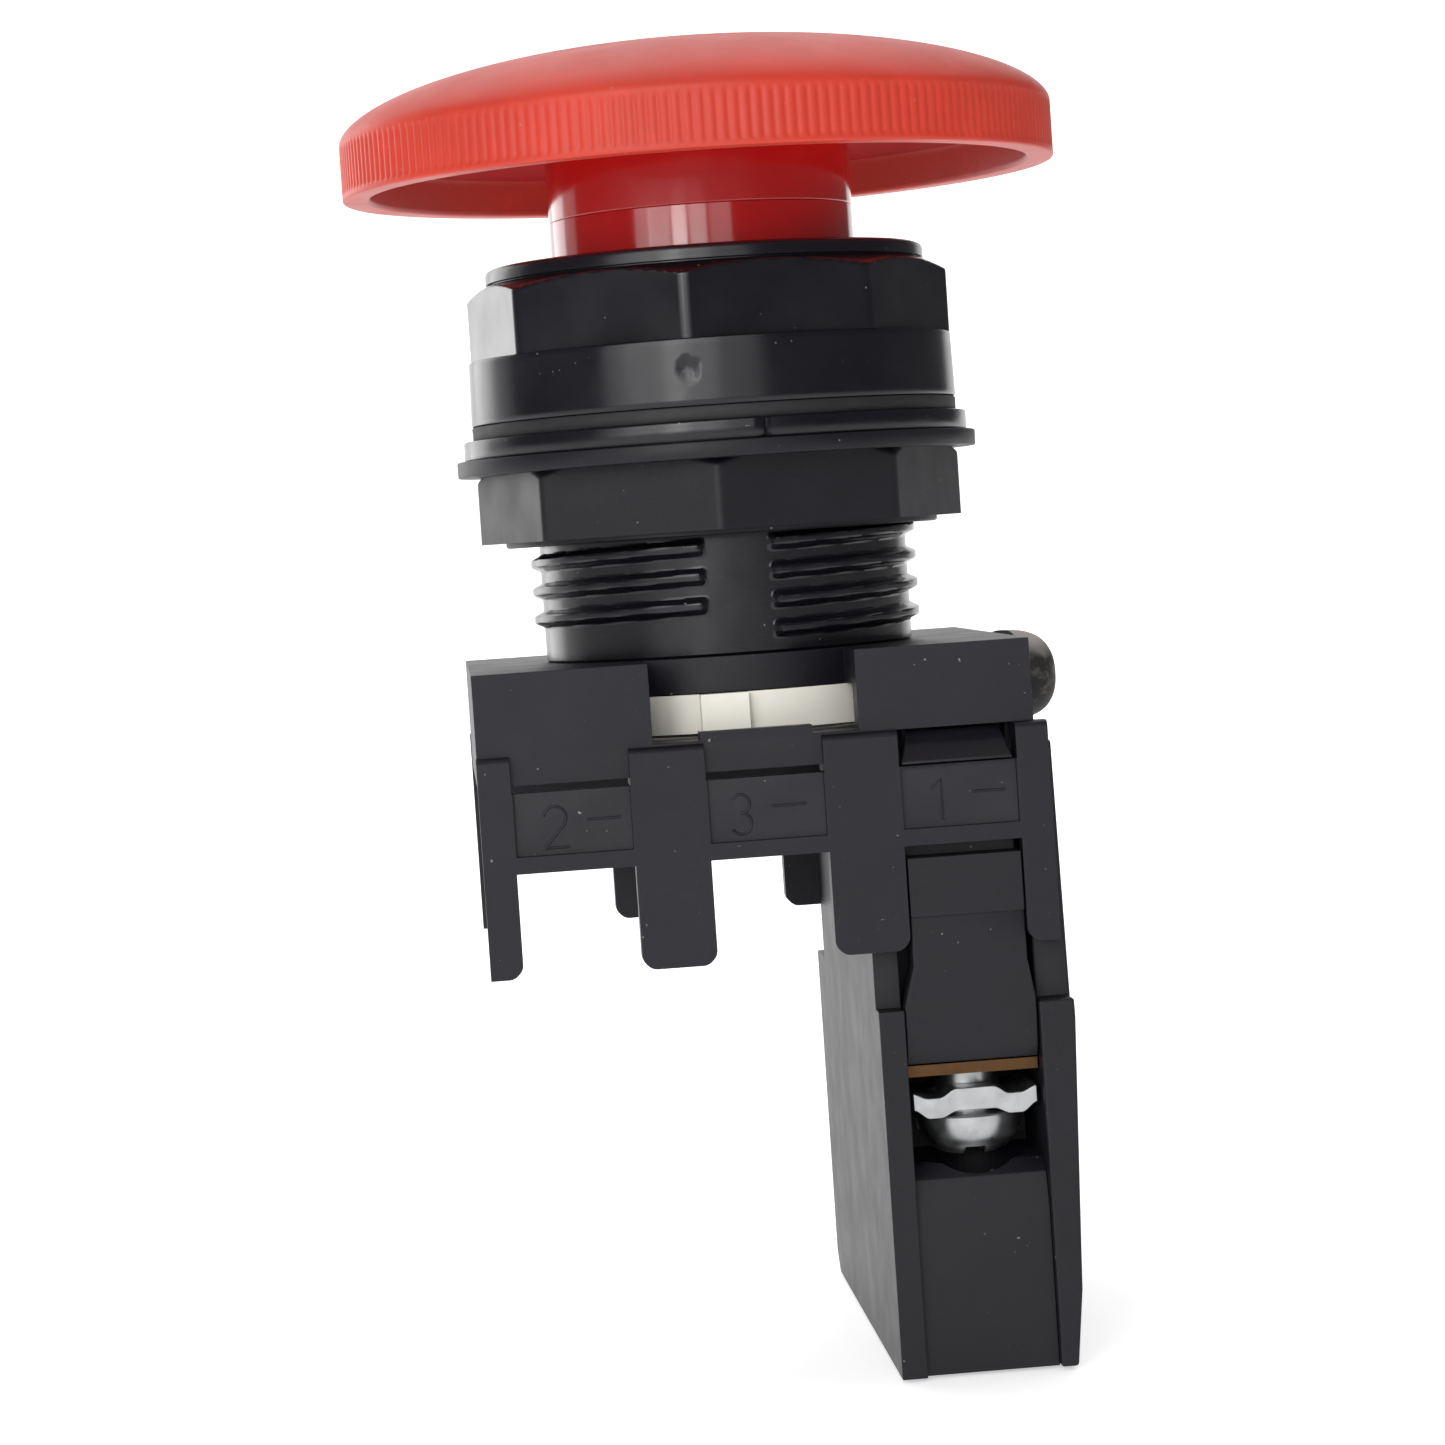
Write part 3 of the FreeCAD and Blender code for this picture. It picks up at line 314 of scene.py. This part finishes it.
def rounded_posts(bm, tip_height, shoulder_height):
    """Rounds the chamfered post tips below one height and the front shoulders at another."""
    tip_round, shoulder_round, near = 0.25 * MM, 0.35 * MM, 0.05 * MM
    front = min(v.co.y for v in bm.verts) + 2 * near

    def along(edge, axis):
        return abs(edge.verts[0].co[axis] - edge.verts[1].co[axis]) > 0.9 * edge.calc_length()

    def rounded(edges, size):
        bmesh.ops.bevel(bm, geom=edges, offset=size, segments=ROUND_SEGMENTS, affect="EDGES",
                        profile=0.5)

    rounded([e for e in bm.edges if max(v.co.z for v in e.verts) < tip_height * MM and along(e, 1)
             and e.calc_face_angle(0) < CHAMFER_ANGLE], tip_round)
    rounded([e for e in bm.edges if along(e, 0) and max(v.co.y for v in e.verts) < front
             and min(abs(v.co.z - shoulder_height * MM) for v in e.verts) < near], shoulder_round)


def softened(name, node, width, material, body, posts=None):
    """The CAD node's own shape with every edge broken by a small round. Posts are the
    heights of post tips and shoulders that are rounded more."""
    bm = bmesh.new()
    bm.from_mesh(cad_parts[node].data)
    bmesh.ops.remove_doubles(bm, verts=bm.verts, dist=WELD_DISTANCE)
    bmesh.ops.dissolve_limit(bm, angle_limit=FLAT_ANGLE, verts=bm.verts, edges=bm.edges)
    if posts is not None:
        rounded_posts(bm, *posts)
    mesh = bpy.data.meshes.new(name)
    bm.to_mesh(mesh)
    bm.free()
    mesh.materials.clear()
    piece = shown(name, mesh, material, body, (node,))
    bevel = piece.modifiers.new("edge_round", "BEVEL")
    bevel.width = width * MM
    bevel.segments = ROUND_SEGMENTS
    bevel.limit_method = "ANGLE"
    bevel.angle_limit = SHARP_ANGLE
    bevel.harden_normals = True
    return piece


def smoothstep(low_edge, high_edge, value):
    """0 below the low edge, 1 above the high edge and a smooth rise between."""
    t = min(1.0, max(0.0, (value - low_edge) / (high_edge - low_edge)))
    return t * t * (3 - 2 * t)


def softer_min(a, b, blend):
    """Smaller of two values with a smooth change over about the blend."""
    h = min(1.0, max(0.0, 0.5 + 0.5 * (b - a) / blend))
    return b * (1 - h) + a * h - blend * h * (1 - h)


# Mushroom head with its ribbed rim

RIB_COUNT = 208
RIB_DEPTH = 0.11
SAMPLES_PER_RIB = 6


def mushroom_head():
    """Head with a domed top, a ribbed rim, a hollow underside and its part of the neck."""
    radius = high("mushroom_head", 0)
    bottom = low("mushroom_head", 2)
    top = high("mushroom_head", 2)
    neck = 8.56
    bore = 5.05
    bore_top = top - 4.25
    rim_low = bottom + 1.9
    rim_high = rim_low + 3.1
    rib_low = rim_low + 0.3
    ceiling = rim_low + 3.7
    lip = 1.6

    def ribbed(base, weight):
        def at(angle):
            wave = 0.5 - 0.5 * math.cos(RIB_COUNT * angle)
            wear = 0.75 + 0.25 * noise.noise(Vector((4 * math.cos(angle), 4 * math.sin(angle), 0)))
            return base - RIB_DEPTH * weight * wear * wave ** 2
        return at

    rows = rounded_path([
        (bore, bore_top, 0), (bore, bottom, 0), (neck, bottom, 0.12), (neck, ceiling, 1.0),
        (16.4, ceiling, 1.2), (radius - lip, rim_low + 2.2, 0.9),
        (radius - lip + 0.05, rim_low, 0.3), (radius, rim_low, 0.2), (radius, rib_low, 0)])
    rows = [(0, bore_top)] + [(p.x, p.y) for p in rows]
    steps = 22
    for k in range(1, steps):
        share = k / steps
        height = rib_low + (rim_high - rib_low) * share
        weight = smoothstep(0.0, 0.05, share) * (1 - smoothstep(0.88, 1.0, share))
        rows.append((ribbed(radius, weight), height))
    dome_steps = 46
    for k in range(dome_steps):
        q = math.cos(math.pi / 2 * k / dome_steps)
        height = rim_high + (top - rim_high) * (1 - q * q) ** 0.56
        rows.append((radius * q, height))
    rows.append((0, top))
    head = skin("red_mushroom_head", rows, RIB_COUNT * SAMPLES_PER_RIB, RED, "head",
                ("mushroom_head",), 60, closed=False)
    head.data.materials.append(NECK_RED)
    head.data.materials.append(UNDERSIDE_RED_PAINTED_SHADE)
    # Faces under the rim near the neck get the neck red; those further out get the darker underside
    # red, which is painted shade.
    for face in head.data.polygons:
        out = math.hypot(face.center.x, face.center.y) / MM
        if face.center.z < (rim_high + 0.4) * MM and out < radius - lip - 0.05:
            face.material_index = 1 if out < neck + 0.1 else 2
    return head


def operator_stem():
    """Red neck under the head with a rounded edge at the joint line."""
    return softened("red_neck_stem", "operator_stem", 0.12, NECK_RED, "head")


# Housing: collar, octagon, flange and threaded barrel in one moulding

OCTAGON_CORNER = 13.66
OCTAGON_TURN = 36
NUT_CORNER = 13.65
NUT_TURN = 40.8
WORN_CORNER = 0.05


def octagon_radius(corner, first_corner):
    """Radius of an octagon with slightly worn corners as a function of the angle."""
    apothem = corner * math.cos(math.pi / 8)

    def at(angle):
        turned = (angle - math.radians(first_corner)) % (math.pi / 4) - math.pi / 8
        return min(apothem / math.cos(turned), corner - WORN_CORNER)
    return at


THREAD_PITCH = 1.57
THREAD_START = math.radians(278)
THREAD_LOWEST = -11.35
THREAD_END = -6.0
RIDGE_TOP = 0.16
RIDGE_FOOT = 0.5
FLAT_HALF = 1.7
FLAT_FADE = 0.4


def thread_radius(core, crest, height):
    """Radius of the threaded barrel at one height: rounded ridges that stop at the flats."""
    def at(angle):
        turn = ((angle - THREAD_START) % (2 * math.pi)) / (2 * math.pi)
        above = height - THREAD_LOWEST - THREAD_PITCH * turn
        nearest = max(0, round(above / THREAD_PITCH))
        away = abs(above - nearest * THREAD_PITCH)
        ridge = 1 - smoothstep(RIDGE_TOP, RIDGE_FOOT, away)
        side = abs(core * math.cos(angle))
        gate = smoothstep(FLAT_HALF, FLAT_HALF + FLAT_FADE, side)
        return core + (crest - core) * ridge * gate
    return at


def flange_radius(base, height, dimple_height):
    """Nearly round flange with the dimple of the moulding gate at the front left."""
    dimple_x, depth, floor_radius, rim_radius = -2.2, 0.1, 0.3, 0.7

    def at(angle):
        x = base * math.cos(angle) - dimple_x
        front = math.sin(angle) < 0
        rough = 0.22 * noise.noise(Vector((5 * x, 5 * height, 0)))
        away = math.hypot(x, height - dimple_height) + rough
        return base - (depth * (1 - smoothstep(floor_radius, rim_radius, away)) if front else 0)
    return at


def operator_housing():
    """Collar, octagon, flange and threaded barrel as one moulding."""
    top = high("operator_housing", 2)
    bottom = low("operator_housing", 2)
    gasket_top = high("panel_gasket", 2)
    holder_top = high("contact_holder", 2)
    core = 10.35
    crest = 10.88
    flange_top = 4.45
    octagon_top = 8.6
    collar = 12.35
    flange = 13.6
    dimple_height = 2.75
    inside = 8.62
    thread_foot = holder_top + 0.2
    flange_foot = gasket_top + 0.15
    prism = octagon_radius(OCTAGON_CORNER, OCTAGON_TURN)
    rows = [(inside, bottom), (9.45, bottom), (9.6, bottom + 0.15), (9.6, holder_top + 0.02),
            (core - 0.12, holder_top + 0.02), (core, holder_top + 0.14)]
    steps = 88
    for k in range(steps + 1):
        height = thread_foot + (THREAD_END - thread_foot) * k / steps
        rows.append((thread_radius(core, crest, height), height))
    rows += [(core, THREAD_END + 0.1), (core, gasket_top), (flange - 0.1, gasket_top),
             (flange + 0.05, gasket_top + 0.04)]
    steps = 16
    for k in range(steps + 1):
        height = flange_foot + (flange_top - 0.12 - flange_foot) * k / steps
        rows.append((flange_radius(flange + 0.08 * (1 - k / steps), height, dimple_height), height))
    rows += [(flange - 0.03, flange_top - 0.04), (flange - 0.14, flange_top)]

    def facet(height):
        cone = collar + (octagon_top - height) * 1.9

        def at(angle):
            return max(collar - 0.05, min(flange - 0.02, softer_min(prism(angle), cone, 0.12)))
        return at

    steps = 40
    for k in range(steps + 1):
        height = flange_top + (octagon_top - flange_top) * k / steps
        rows.append((facet(height), height))
    rows += [(collar - 0.16, octagon_top), (collar - 0.16, octagon_top + 0.06),
             (collar, octagon_top + 0.12),
             (collar, top - 0.3), (collar - 0.08, top - 0.1), (collar - 0.3, top), (10.3, top),
             (10.2, top - 0.12), (9.1, top - 0.12), (inside, top - 0.35)]
    skin("black_operator_housing", rows, 720, GLOSS_BLACK, "base", ("operator_housing",), 38)


RING_BORE = 10.95
SPLIT_X = 1.62


def ring_piece(name, node, material, edge=0.09, gap=None, wobble=0.0):
    """Flat ring between a node's heights, with broken edges, optional unevenness of the
    outer edge, and an optional narrow split."""
    outer = high(node, 0)
    bottom = low(node, 2)
    top = high(node, 2)

    def rim(base, height):
        def at(angle):
            spot = Vector((9 * math.cos(angle), 9 * math.sin(angle), 3 * height))
            r = base + wobble * noise.noise(spot)
            if gap and math.sin(angle) < 0:
                r -= 0.5 * (1 - smoothstep(0.06, 0.16, abs(outer * math.cos(angle) - gap)))
            return r
        return at

    rows = [(RING_BORE, bottom), (rim(outer - edge - wobble, bottom), bottom),
            (rim(outer - 0.3 * edge - wobble, bottom), bottom + 0.3 * edge),
            (rim(outer - wobble, bottom), bottom + edge),
            (rim(outer - wobble, 0.5 * (bottom + top)), 0.5 * (bottom + top)),
            (rim(outer - wobble, top), top - edge),
            (rim(outer - 0.3 * edge - wobble, top), top - 0.3 * edge),
            (rim(outer - edge - wobble, top), top), (RING_BORE, top)]
    return skin(name, rows, 360, material, "base", (node,))


def lock_nut():
    """Octagonal nut, chamfered at its upper corners, on a slim round boss."""
    top = high("lock_nut", 2)
    boss_bottom = low("lock_nut", 2)
    bottom = boss_bottom + 0.3
    prism = octagon_radius(NUT_CORNER, NUT_TURN)
    inner, boss = 10.93, 12.2
    chamfer, slope = 13.28, 1.16

    def facet(height):
        cone = chamfer + (top - height) * slope

        def at(angle):
            return softer_min(prism(angle), cone, 0.16)
        return at

    steps = 40
    rows = [(inner, boss_bottom), (boss - 0.12, boss_bottom), (boss, boss_bottom + 0.1), (boss, bottom)]
    rows += [(facet(bottom + (top - bottom) * k / steps), bottom + (top - bottom) * k / steps)
             for k in range(steps + 1)]
    rows += [(inner, top)]
    skin("octagonal_lock_nut", rows, 720, MATTE_BLACK, "base", ("lock_nut",), 30)


# Mounting block

STROKE_RADIUS = 0.075


def label_mark(name, strokes, middle, plane):
    """Fine strokes of a slot number, drawn on the plane of its label plate."""
    curve = bpy.data.curves.new(name, "CURVE")
    curve.dimensions = "3D"
    curve.bevel_depth = STROKE_RADIUS * MM
    curve.bevel_resolution = 3
    curve.use_fill_caps = True
    for stroke in strokes:
        spline = curve.splines.new("POLY")
        spline.points.add(len(stroke) - 1)
        for point, (u, v) in zip(spline.points, stroke):
            point.co = ((middle[0] + u) * MM, plane * MM, (middle[1] + v) * MM, 1)
    holder = bpy.data.objects.new(name + "_curve", curve)
    bpy.context.scene.collection.objects.link(holder)
    evaluated = holder.evaluated_get(bpy.context.evaluated_depsgraph_get())
    mesh = bpy.data.meshes.new_from_object(evaluated)
    bpy.data.objects.remove(holder)
    return shown(name, mesh, HOLDER_BLACK, "base")


def arc(u, v, radius, start, end, count=12):
    """Points of an arc between two angles in degrees."""
    return [(u + radius * math.cos(math.radians(start + (end - start) * k / count)),
             v + radius * math.sin(math.radians(start + (end - start) * k / count)))
            for k in range(count + 1)]


DASH = [(1.7, 0.3), (3.5, 0.3)]
NUMERALS = {
    "two": [arc(0.0, 0.5, 0.6, 170, -38) + [(-0.62, -1.08)], [(-0.62, -1.08), (0.7, -1.08)]],
    "three": [arc(0.0, 0.53, 0.5, 150, -90), arc(0.0, -0.53, 0.56, 90, -150)],
    "one": [[(-0.5, 0.6), (0.05, 1.08), (0.05, -1.08)]],
}
LABEL_MIDDLE = {"two": -10.95, "three": -1.1, "one": 9.6}
LABEL_HEIGHT = -20.9
LABEL_RECESS = 0.35


def label_marks():
    """Number and dash of each of the three slots."""
    front = low("contact_holder", 1) + LABEL_RECESS
    for name, x in LABEL_MIDDLE.items():
        label_mark(f"slot_mark_{name}", NUMERALS[name] + [DASH], (x, LABEL_HEIGHT), front)


def lock_lever():
    """Finger pad of the locking ring: a pillow on a curved strip, with its arm inward."""
    inner, outer = 16.5, 19.05
    arm_inner, arm_half, arm_heights = 10.85, 1.46, (-16.43, -14.84)
    bottom, top = low("lock_lever", 2), high("lock_lever", 2)
    middle, half = (bottom + top) / 2, (top - bottom) / 2
    turn, spread = math.radians(12), 3.35 / inner
    columns, around = 36, 28
    bm = bmesh.new()
    loops = []
    for i in range(columns + 1):
        s = math.sin(math.pi / 2 * (2 * i / columns - 1))
        swell = max(0.02, (1 - abs(s) ** 2.8) ** (1 / 2.2))
        loop = []
        for j in range(around + 1):
            t = math.pi * (j / around - 0.5)
            bulge = abs(math.cos(t)) ** 0.75
            rise = math.copysign(abs(math.sin(t)) ** 0.85, t)
            r = inner + (outer - inner) * bulge * (0.35 + 0.65 * swell)
            angle = turn + spread * s
            z = middle + half * rise * (0.3 + 0.7 * swell)
            loop.append(bm.verts.new((r * math.cos(angle) * MM, r * math.sin(angle) * MM, z * MM)))
        loops.append(loop)
    for one, two in zip(loops, loops[1:]):
        for j in range(around):
            bm.faces.new([one[j], one[j + 1], two[j + 1], two[j]])
        bm.faces.new([one[-1], one[0], two[0], two[-1]])
    bm.faces.new(loops[0])
    bm.faces.new(list(reversed(loops[-1])))
    arm_outer = inner + 0.3
    corners = []
    for z in arm_heights:
        for r, side in ((arm_inner, -arm_half), (arm_outer, -arm_half),
                        (arm_outer, arm_half), (arm_inner, arm_half)):
            x = r * math.cos(turn) - side * math.sin(turn)
            y = r * math.sin(turn) + side * math.cos(turn)
            corners.append(bm.verts.new((x * MM, y * MM, z * MM)))
    for quad in ((0, 1, 2, 3), (7, 6, 5, 4), (0, 4, 5, 1), (1, 5, 6, 2), (2, 6, 7, 3), (3, 7, 4, 0)):
        bm.faces.new([corners[k] for k in quad])
    bmesh.ops.recalc_face_normals(bm, faces=bm.faces)
    mesh = bpy.data.meshes.new("lock_ring_lever")
    bm.to_mesh(mesh)
    bm.free()
    return shown("lock_ring_lever", mesh, LEVER_BLACK, "lock", ("lock_lever",), 40)


# Contact block

def screw_head(name, node):
    """Domed pan head that faces down, with a cross recess and a straight slot."""
    lowest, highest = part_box(node)
    centre = (lowest + highest) / 2 / MM
    bottom = lowest.z / MM
    top = highest.z / MM
    radius = (highest.x - lowest.x) / 2 / MM
    seat = bottom + 2.4
    recess = 0.85
    shank = 1.75

    def groove(away):
        return 1 - smoothstep(0.42, 0.56, abs(away))

    def recessed(base, height):
        def at(angle):
            slot = groove(base * math.sin(angle))
            cross = max(groove(base * math.cos(angle)), slot) * (1 - smoothstep(2.0, 2.3, base))
            return height + recess * max(cross, slot * smoothstep(1.9, 2.1, base))
        return at

    depth = seat - 0.15 - bottom
    rows = [(0, bottom + recess)]
    steps = 30
    for k in range(1, steps + 1):
        q = math.sin(math.pi / 2 * k / steps)
        rise = depth * (1 - (1 - q ** 2.6) ** (1 / 2.2))
        rows.append((radius * q, recessed(radius * q, bottom + rise)))
    rows += [(radius, seat - 0.1), (radius - 0.1, seat), (shank + 0.15, seat),
             (shank, seat - 0.02), (shank, top - 0.25), (shank - 0.25, top), (0, top)]
    piece = skin(name, rows, 160, ZINC, "base", (node,), 40, closed=False)
    piece.data.transform(Matrix.Translation((centre.x * MM, centre.y * MM, 0)))
    return piece


CLAMP_HOLE_Y = {"saddle_clamp_front": -11.0, "saddle_clamp_rear": 13.6}
CLAMP_HOLE = 1.95
CLAMP_TOP = -36.5
CLAMP_UNDERSIDE = -37.72


def saddle_clamp(name, node):
    """Pressed clamp plate: a crest over the screw between two wire grooves, ends up."""
    lowest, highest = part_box(node)
    left, right = lowest.x / MM, highest.x / MM
    front, back = lowest.y / MM, highest.y / MM
    columns, lines = 66, 48
    middle = (left + right) / 2
    half = (right - left) / 2

    def heights(x, y):
        away = abs(x - middle)
        valley = smoothstep(1.0, 1.9, away)
        end = smoothstep(2.5, half, away)
        serration = 0.05 * math.sin(7.5 * (y - front)) * smoothstep(1.3, 1.8, away)
        upper = CLAMP_TOP - 0.45 * valley + 0.3 * end + serration
        lower = CLAMP_UNDERSIDE - 0.33 * valley + 0.5 * end
        return lower, upper

    bm = bmesh.new()
    grid = {}
    for i in range(columns + 1):
        for j in range(lines + 1):
            x = left + (right - left) * i / columns
            y = front + (back - front) * j / lines
            for side, z in enumerate(heights(x, y)):
                grid[side, i, j] = bm.verts.new((x * MM, y * MM, z * MM))

    def solid(i, j):
        x = left + (right - left) * (i + 0.5) / columns
        y = front + (back - front) * (j + 0.5) / lines
        return math.hypot(x - middle, y - CLAMP_HOLE_Y[node]) > CLAMP_HOLE

    cells = {(i, j) for i in range(columns) for j in range(lines) if solid(i, j)}
    for i, j in cells:
        for side in (0, 1):
            bm.faces.new([grid[side, i, j], grid[side, i + 1, j],
                          grid[side, i + 1, j + 1], grid[side, i, j + 1]])
        for di, dj, a, b in ((-1, 0, (0, 0), (0, 1)), (1, 0, (1, 0), (1, 1)),
                             (0, -1, (0, 0), (1, 0)), (0, 1, (0, 1), (1, 1))):
            if (i + di, j + dj) not in cells:
                one = (i + a[0], j + a[1])
                two = (i + b[0], j + b[1])
                bm.faces.new([grid[(0, *one)], grid[(0, *two)], grid[(1, *two)], grid[(1, *one)]])
    loose = [v for v in bm.verts if not v.link_faces]
    bmesh.ops.delete(bm, geom=loose, context="VERTS")
    bmesh.ops.recalc_face_normals(bm, faces=bm.faces)
    mesh = bpy.data.meshes.new(name)
    bm.to_mesh(mesh)
    bm.free()
    piece = shown(name, mesh, ZINC, "base", (node,), 50)
    edge = piece.modifiers.new("edge_round", "BEVEL")
    edge.width = 0.12 * MM
    edge.segments = 2
    edge.angle_limit = math.radians(50)
    return piece


# Springs; on the real switch they shorten as the head is pressed, here each keeps one length


def spring(name, node, turns, wire):
    """Coil spring with two closed end coils that flattens towards its lower end."""
    lowest, highest = (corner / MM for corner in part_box(node))
    centre = (lowest + highest) / 2
    radius = (highest.x - lowest.x) / 2 - wire
    start, end = lowest.z + wire, highest.z - wire
    dead = 1.0
    around, per_turn = 12, 40
    steps = int((turns + 2 * dead) * per_turn)
    bm = bmesh.new()
    rings = []
    for k in range(steps + 1):
        turn = k / per_turn
        share = smoothstep(0, 1, (turn - dead / 2) / (turns + dead))
        share = 0.25 * share + 0.75 * min(1, max(0, (turn - dead) / turns))
        out = Vector((math.cos(2 * math.pi * turn), math.sin(2 * math.pi * turn), 0))
        middle = centre + out * radius
        middle.z = start + (end - start) * share
        ring = []
        for j in range(around):
            angle = 2 * math.pi * j / around
            point = middle + out * wire * math.cos(angle) + Vector((0, 0, wire * math.sin(angle)))
            ring.append(bm.verts.new(point * MM))
        rings.append(ring)
    for one, two in zip(rings, rings[1:]):
        for j in range(around):
            n = (j + 1) % around
            bm.faces.new([one[j], one[n], two[n], two[j]])
    bm.faces.new(rings[0])
    bm.faces.new(list(reversed(rings[-1])))
    bmesh.ops.recalc_face_normals(bm, faces=bm.faces)
    mesh = bpy.data.meshes.new(name)
    bm.to_mesh(mesh)
    bm.free()
    piece = shown(name, mesh, SPRING, "base", (node,), 60)
    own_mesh(piece)
    return piece


POST_TIPS = -28
POST_SHOULDERS = -17.05

mushroom_head()
operator_stem()
operator_housing()
ring_piece("rubber_panel_gasket", "panel_gasket", RUBBER, edge=0.12, wobble=0.05)
ring_piece("split_spacer_ring", "spacer_ring", GLOSS_BLACK, gap=SPLIT_X, wobble=0.012)
ring_piece("keyed_thrust_washer", "thrust_washer", MATTE_BLACK, wobble=0.015)
lock_nut()
softened("mounting_block", "contact_holder", 0.14, HOLDER_BLACK, "base", (POST_TIPS, POST_SHOULDERS))
label_marks()
softened("white_lock_ring", "lock_ring", 0.1, IVORY, "lock")
lock_lever()
softened("contact_block_case", "contact_housing", 0.14, MATTE_BLACK, "base")
softened("contact_block_cover", "contact_cover", 0.16, MATTE_BLACK, "base")
softened("front_latch_arm", "latch_arm", 0.12, MATTE_BLACK, "latch")
saddle_clamp("front_saddle_clamp", "saddle_clamp_front")
saddle_clamp("rear_saddle_clamp", "saddle_clamp_rear")
screw_head("front_terminal_screw", "terminal_screw_front")
screw_head("rear_terminal_screw", "terminal_screw_rear")
spring("return_coil_spring", "return_spring", 5, 0.45)
spring("contact_coil_spring", "contact_spring", 6, 0.35)


# Stage, light and camera

def backdrop():
    """Pale floor that curves up into a wall behind the object."""
    floor = cad_box[0][2] - 0.0002
    bend = 0.6
    wall_height = 2.5
    front, back, left, right = -1.6, 1.4, -3.0, 0.85
    profile = [(front, floor), (back - bend, floor)]
    steps = 12
    for k in range(1, steps + 1):
        angle = math.pi / 2 * k / steps
        profile.append((back - bend + bend * math.sin(angle), floor + bend * (1 - math.cos(angle))))
    profile.append((back, floor + wall_height))
    bm = bmesh.new()
    rows = [[bm.verts.new((x, y, z)) for x in (left, right)] for y, z in profile]
    for one, two in zip(rows, rows[1:]):
        bm.faces.new([one[0], one[1], two[1], two[0]])
    mesh = bpy.data.meshes.new("backdrop")
    bm.to_mesh(mesh)
    bm.free()
    mesh.shade_smooth()
    sheet = bpy.data.objects.new("backdrop", mesh)
    bpy.context.scene.collection.objects.link(sheet)
    g = Graph("pale_backdrop")
    tone = g.mixed(g.ranged(g.noise(90.0, 3), 0.3, 0.7, 0, 1), (0.90, 0.90, 0.90), (0.93, 0.93, 0.93))
    mesh.materials.append(g.finish(tone, Roughness=0.9, Emission_Color=(1, 1, 1, 1),
                                   Emission_Strength=0.5))


def area_light(name, place, target, size, power):
    """White rectangular light at a place, turned to a target."""
    data = bpy.data.lights.new(name, "AREA")
    data.shape = "RECTANGLE"
    data.size, data.size_y = size
    data.energy = power
    lamp = bpy.data.objects.new(name, data)
    bpy.context.scene.collection.objects.link(lamp)
    lamp.location = place
    lamp.rotation_euler = (Vector(target) - Vector(place)).to_track_quat("-Z", "Y").to_euler()


PANE_AIM = 0.7


def window(y, columns, rows):
    """Window of separate panes in the plane at y, facing the object. Columns are
    (left, right, radiance) and rows are (bottom, top)."""
    for i, (left, right, radiance) in enumerate(columns):
        for j, (bottom, top) in enumerate(rows):
            size = (right - left, top - bottom)
            place = ((left + right) / 2, y, (bottom + top) / 2)
            area_light(f"pane_{i}_{j}", place, (place[0] * PANE_AIM, 0, place[2] * PANE_AIM), size,
                       radiance * math.pi * size[0] * size[1])


def lighting():
    """Window to the front left, a soft light over the floor and lights on the wall."""
    world = bpy.data.worlds.new("studio")
    bpy.context.scene.world = world
    world.use_nodes = True
    sky = world.node_tree.nodes["Background"].inputs
    sky["Color"].default_value = (1, 1, 1, 1)
    sky["Strength"].default_value = 0.10
    window(-0.75, ((-1.0, -0.72, 2.2), (-0.69, -0.40, 3.6), (-0.36, -0.20, 7.6), (-0.17, 0.0, 3.9),
                   (0.03, 0.25, 1.6)), ((0.035, 0.22), (0.25, 0.55)))
    middle = (0, 0, -0.01)
    area_light("left_rim", (-0.34, 0.44, 0.08), middle, (0.26, 0.36), 0.5)
    area_light("floor_soft", (0.1, 0.22, 0.62), (0.1, 0.22, 0), (1.4, 0.7), 4.0)
    for name, x, power in (("wall_left", -0.45, 2.0), ("wall_right", 0.4, 1.7)):
        area_light(name, (x, 0.62, 0.62), (x * 0.4, 1.3, 0.05), (0.6, 0.5), power)


FOCAL_PIXELS = 3951
FRAME_PIXELS = 1445
SENSOR_MM = 36.0
EYE = (-0.016534, -0.223379, -0.006022)
YAW, PITCH, ROLL = (math.radians(degrees) for degrees in (4.059, -2.736, -3.869))


def camera():
    """Long view from the front, a little left of the axis, slightly rolled."""
    ahead = Vector((math.sin(YAW) * math.cos(PITCH), math.cos(YAW) * math.cos(PITCH), math.sin(PITCH)))
    right = Vector((math.cos(YAW), -math.sin(YAW), 0))
    up = right.cross(ahead)
    side = math.cos(ROLL) * right + math.sin(ROLL) * up
    above = -math.sin(ROLL) * right + math.cos(ROLL) * up
    data = bpy.data.cameras.new("camera")
    data.sensor_width = SENSOR_MM
    data.lens = FOCAL_PIXELS / FRAME_PIXELS * SENSOR_MM
    data.clip_start = 0.01
    eye = bpy.data.objects.new("camera", data)
    bpy.context.scene.collection.objects.link(eye)
    turn = Matrix((side, above, -ahead)).transposed().to_4x4()
    eye.matrix_world = Matrix.Translation(EYE) @ turn
    bpy.context.scene.camera = eye


backdrop()
lighting()
camera()
bpy.context.scene.view_settings.view_transform = "Standard"
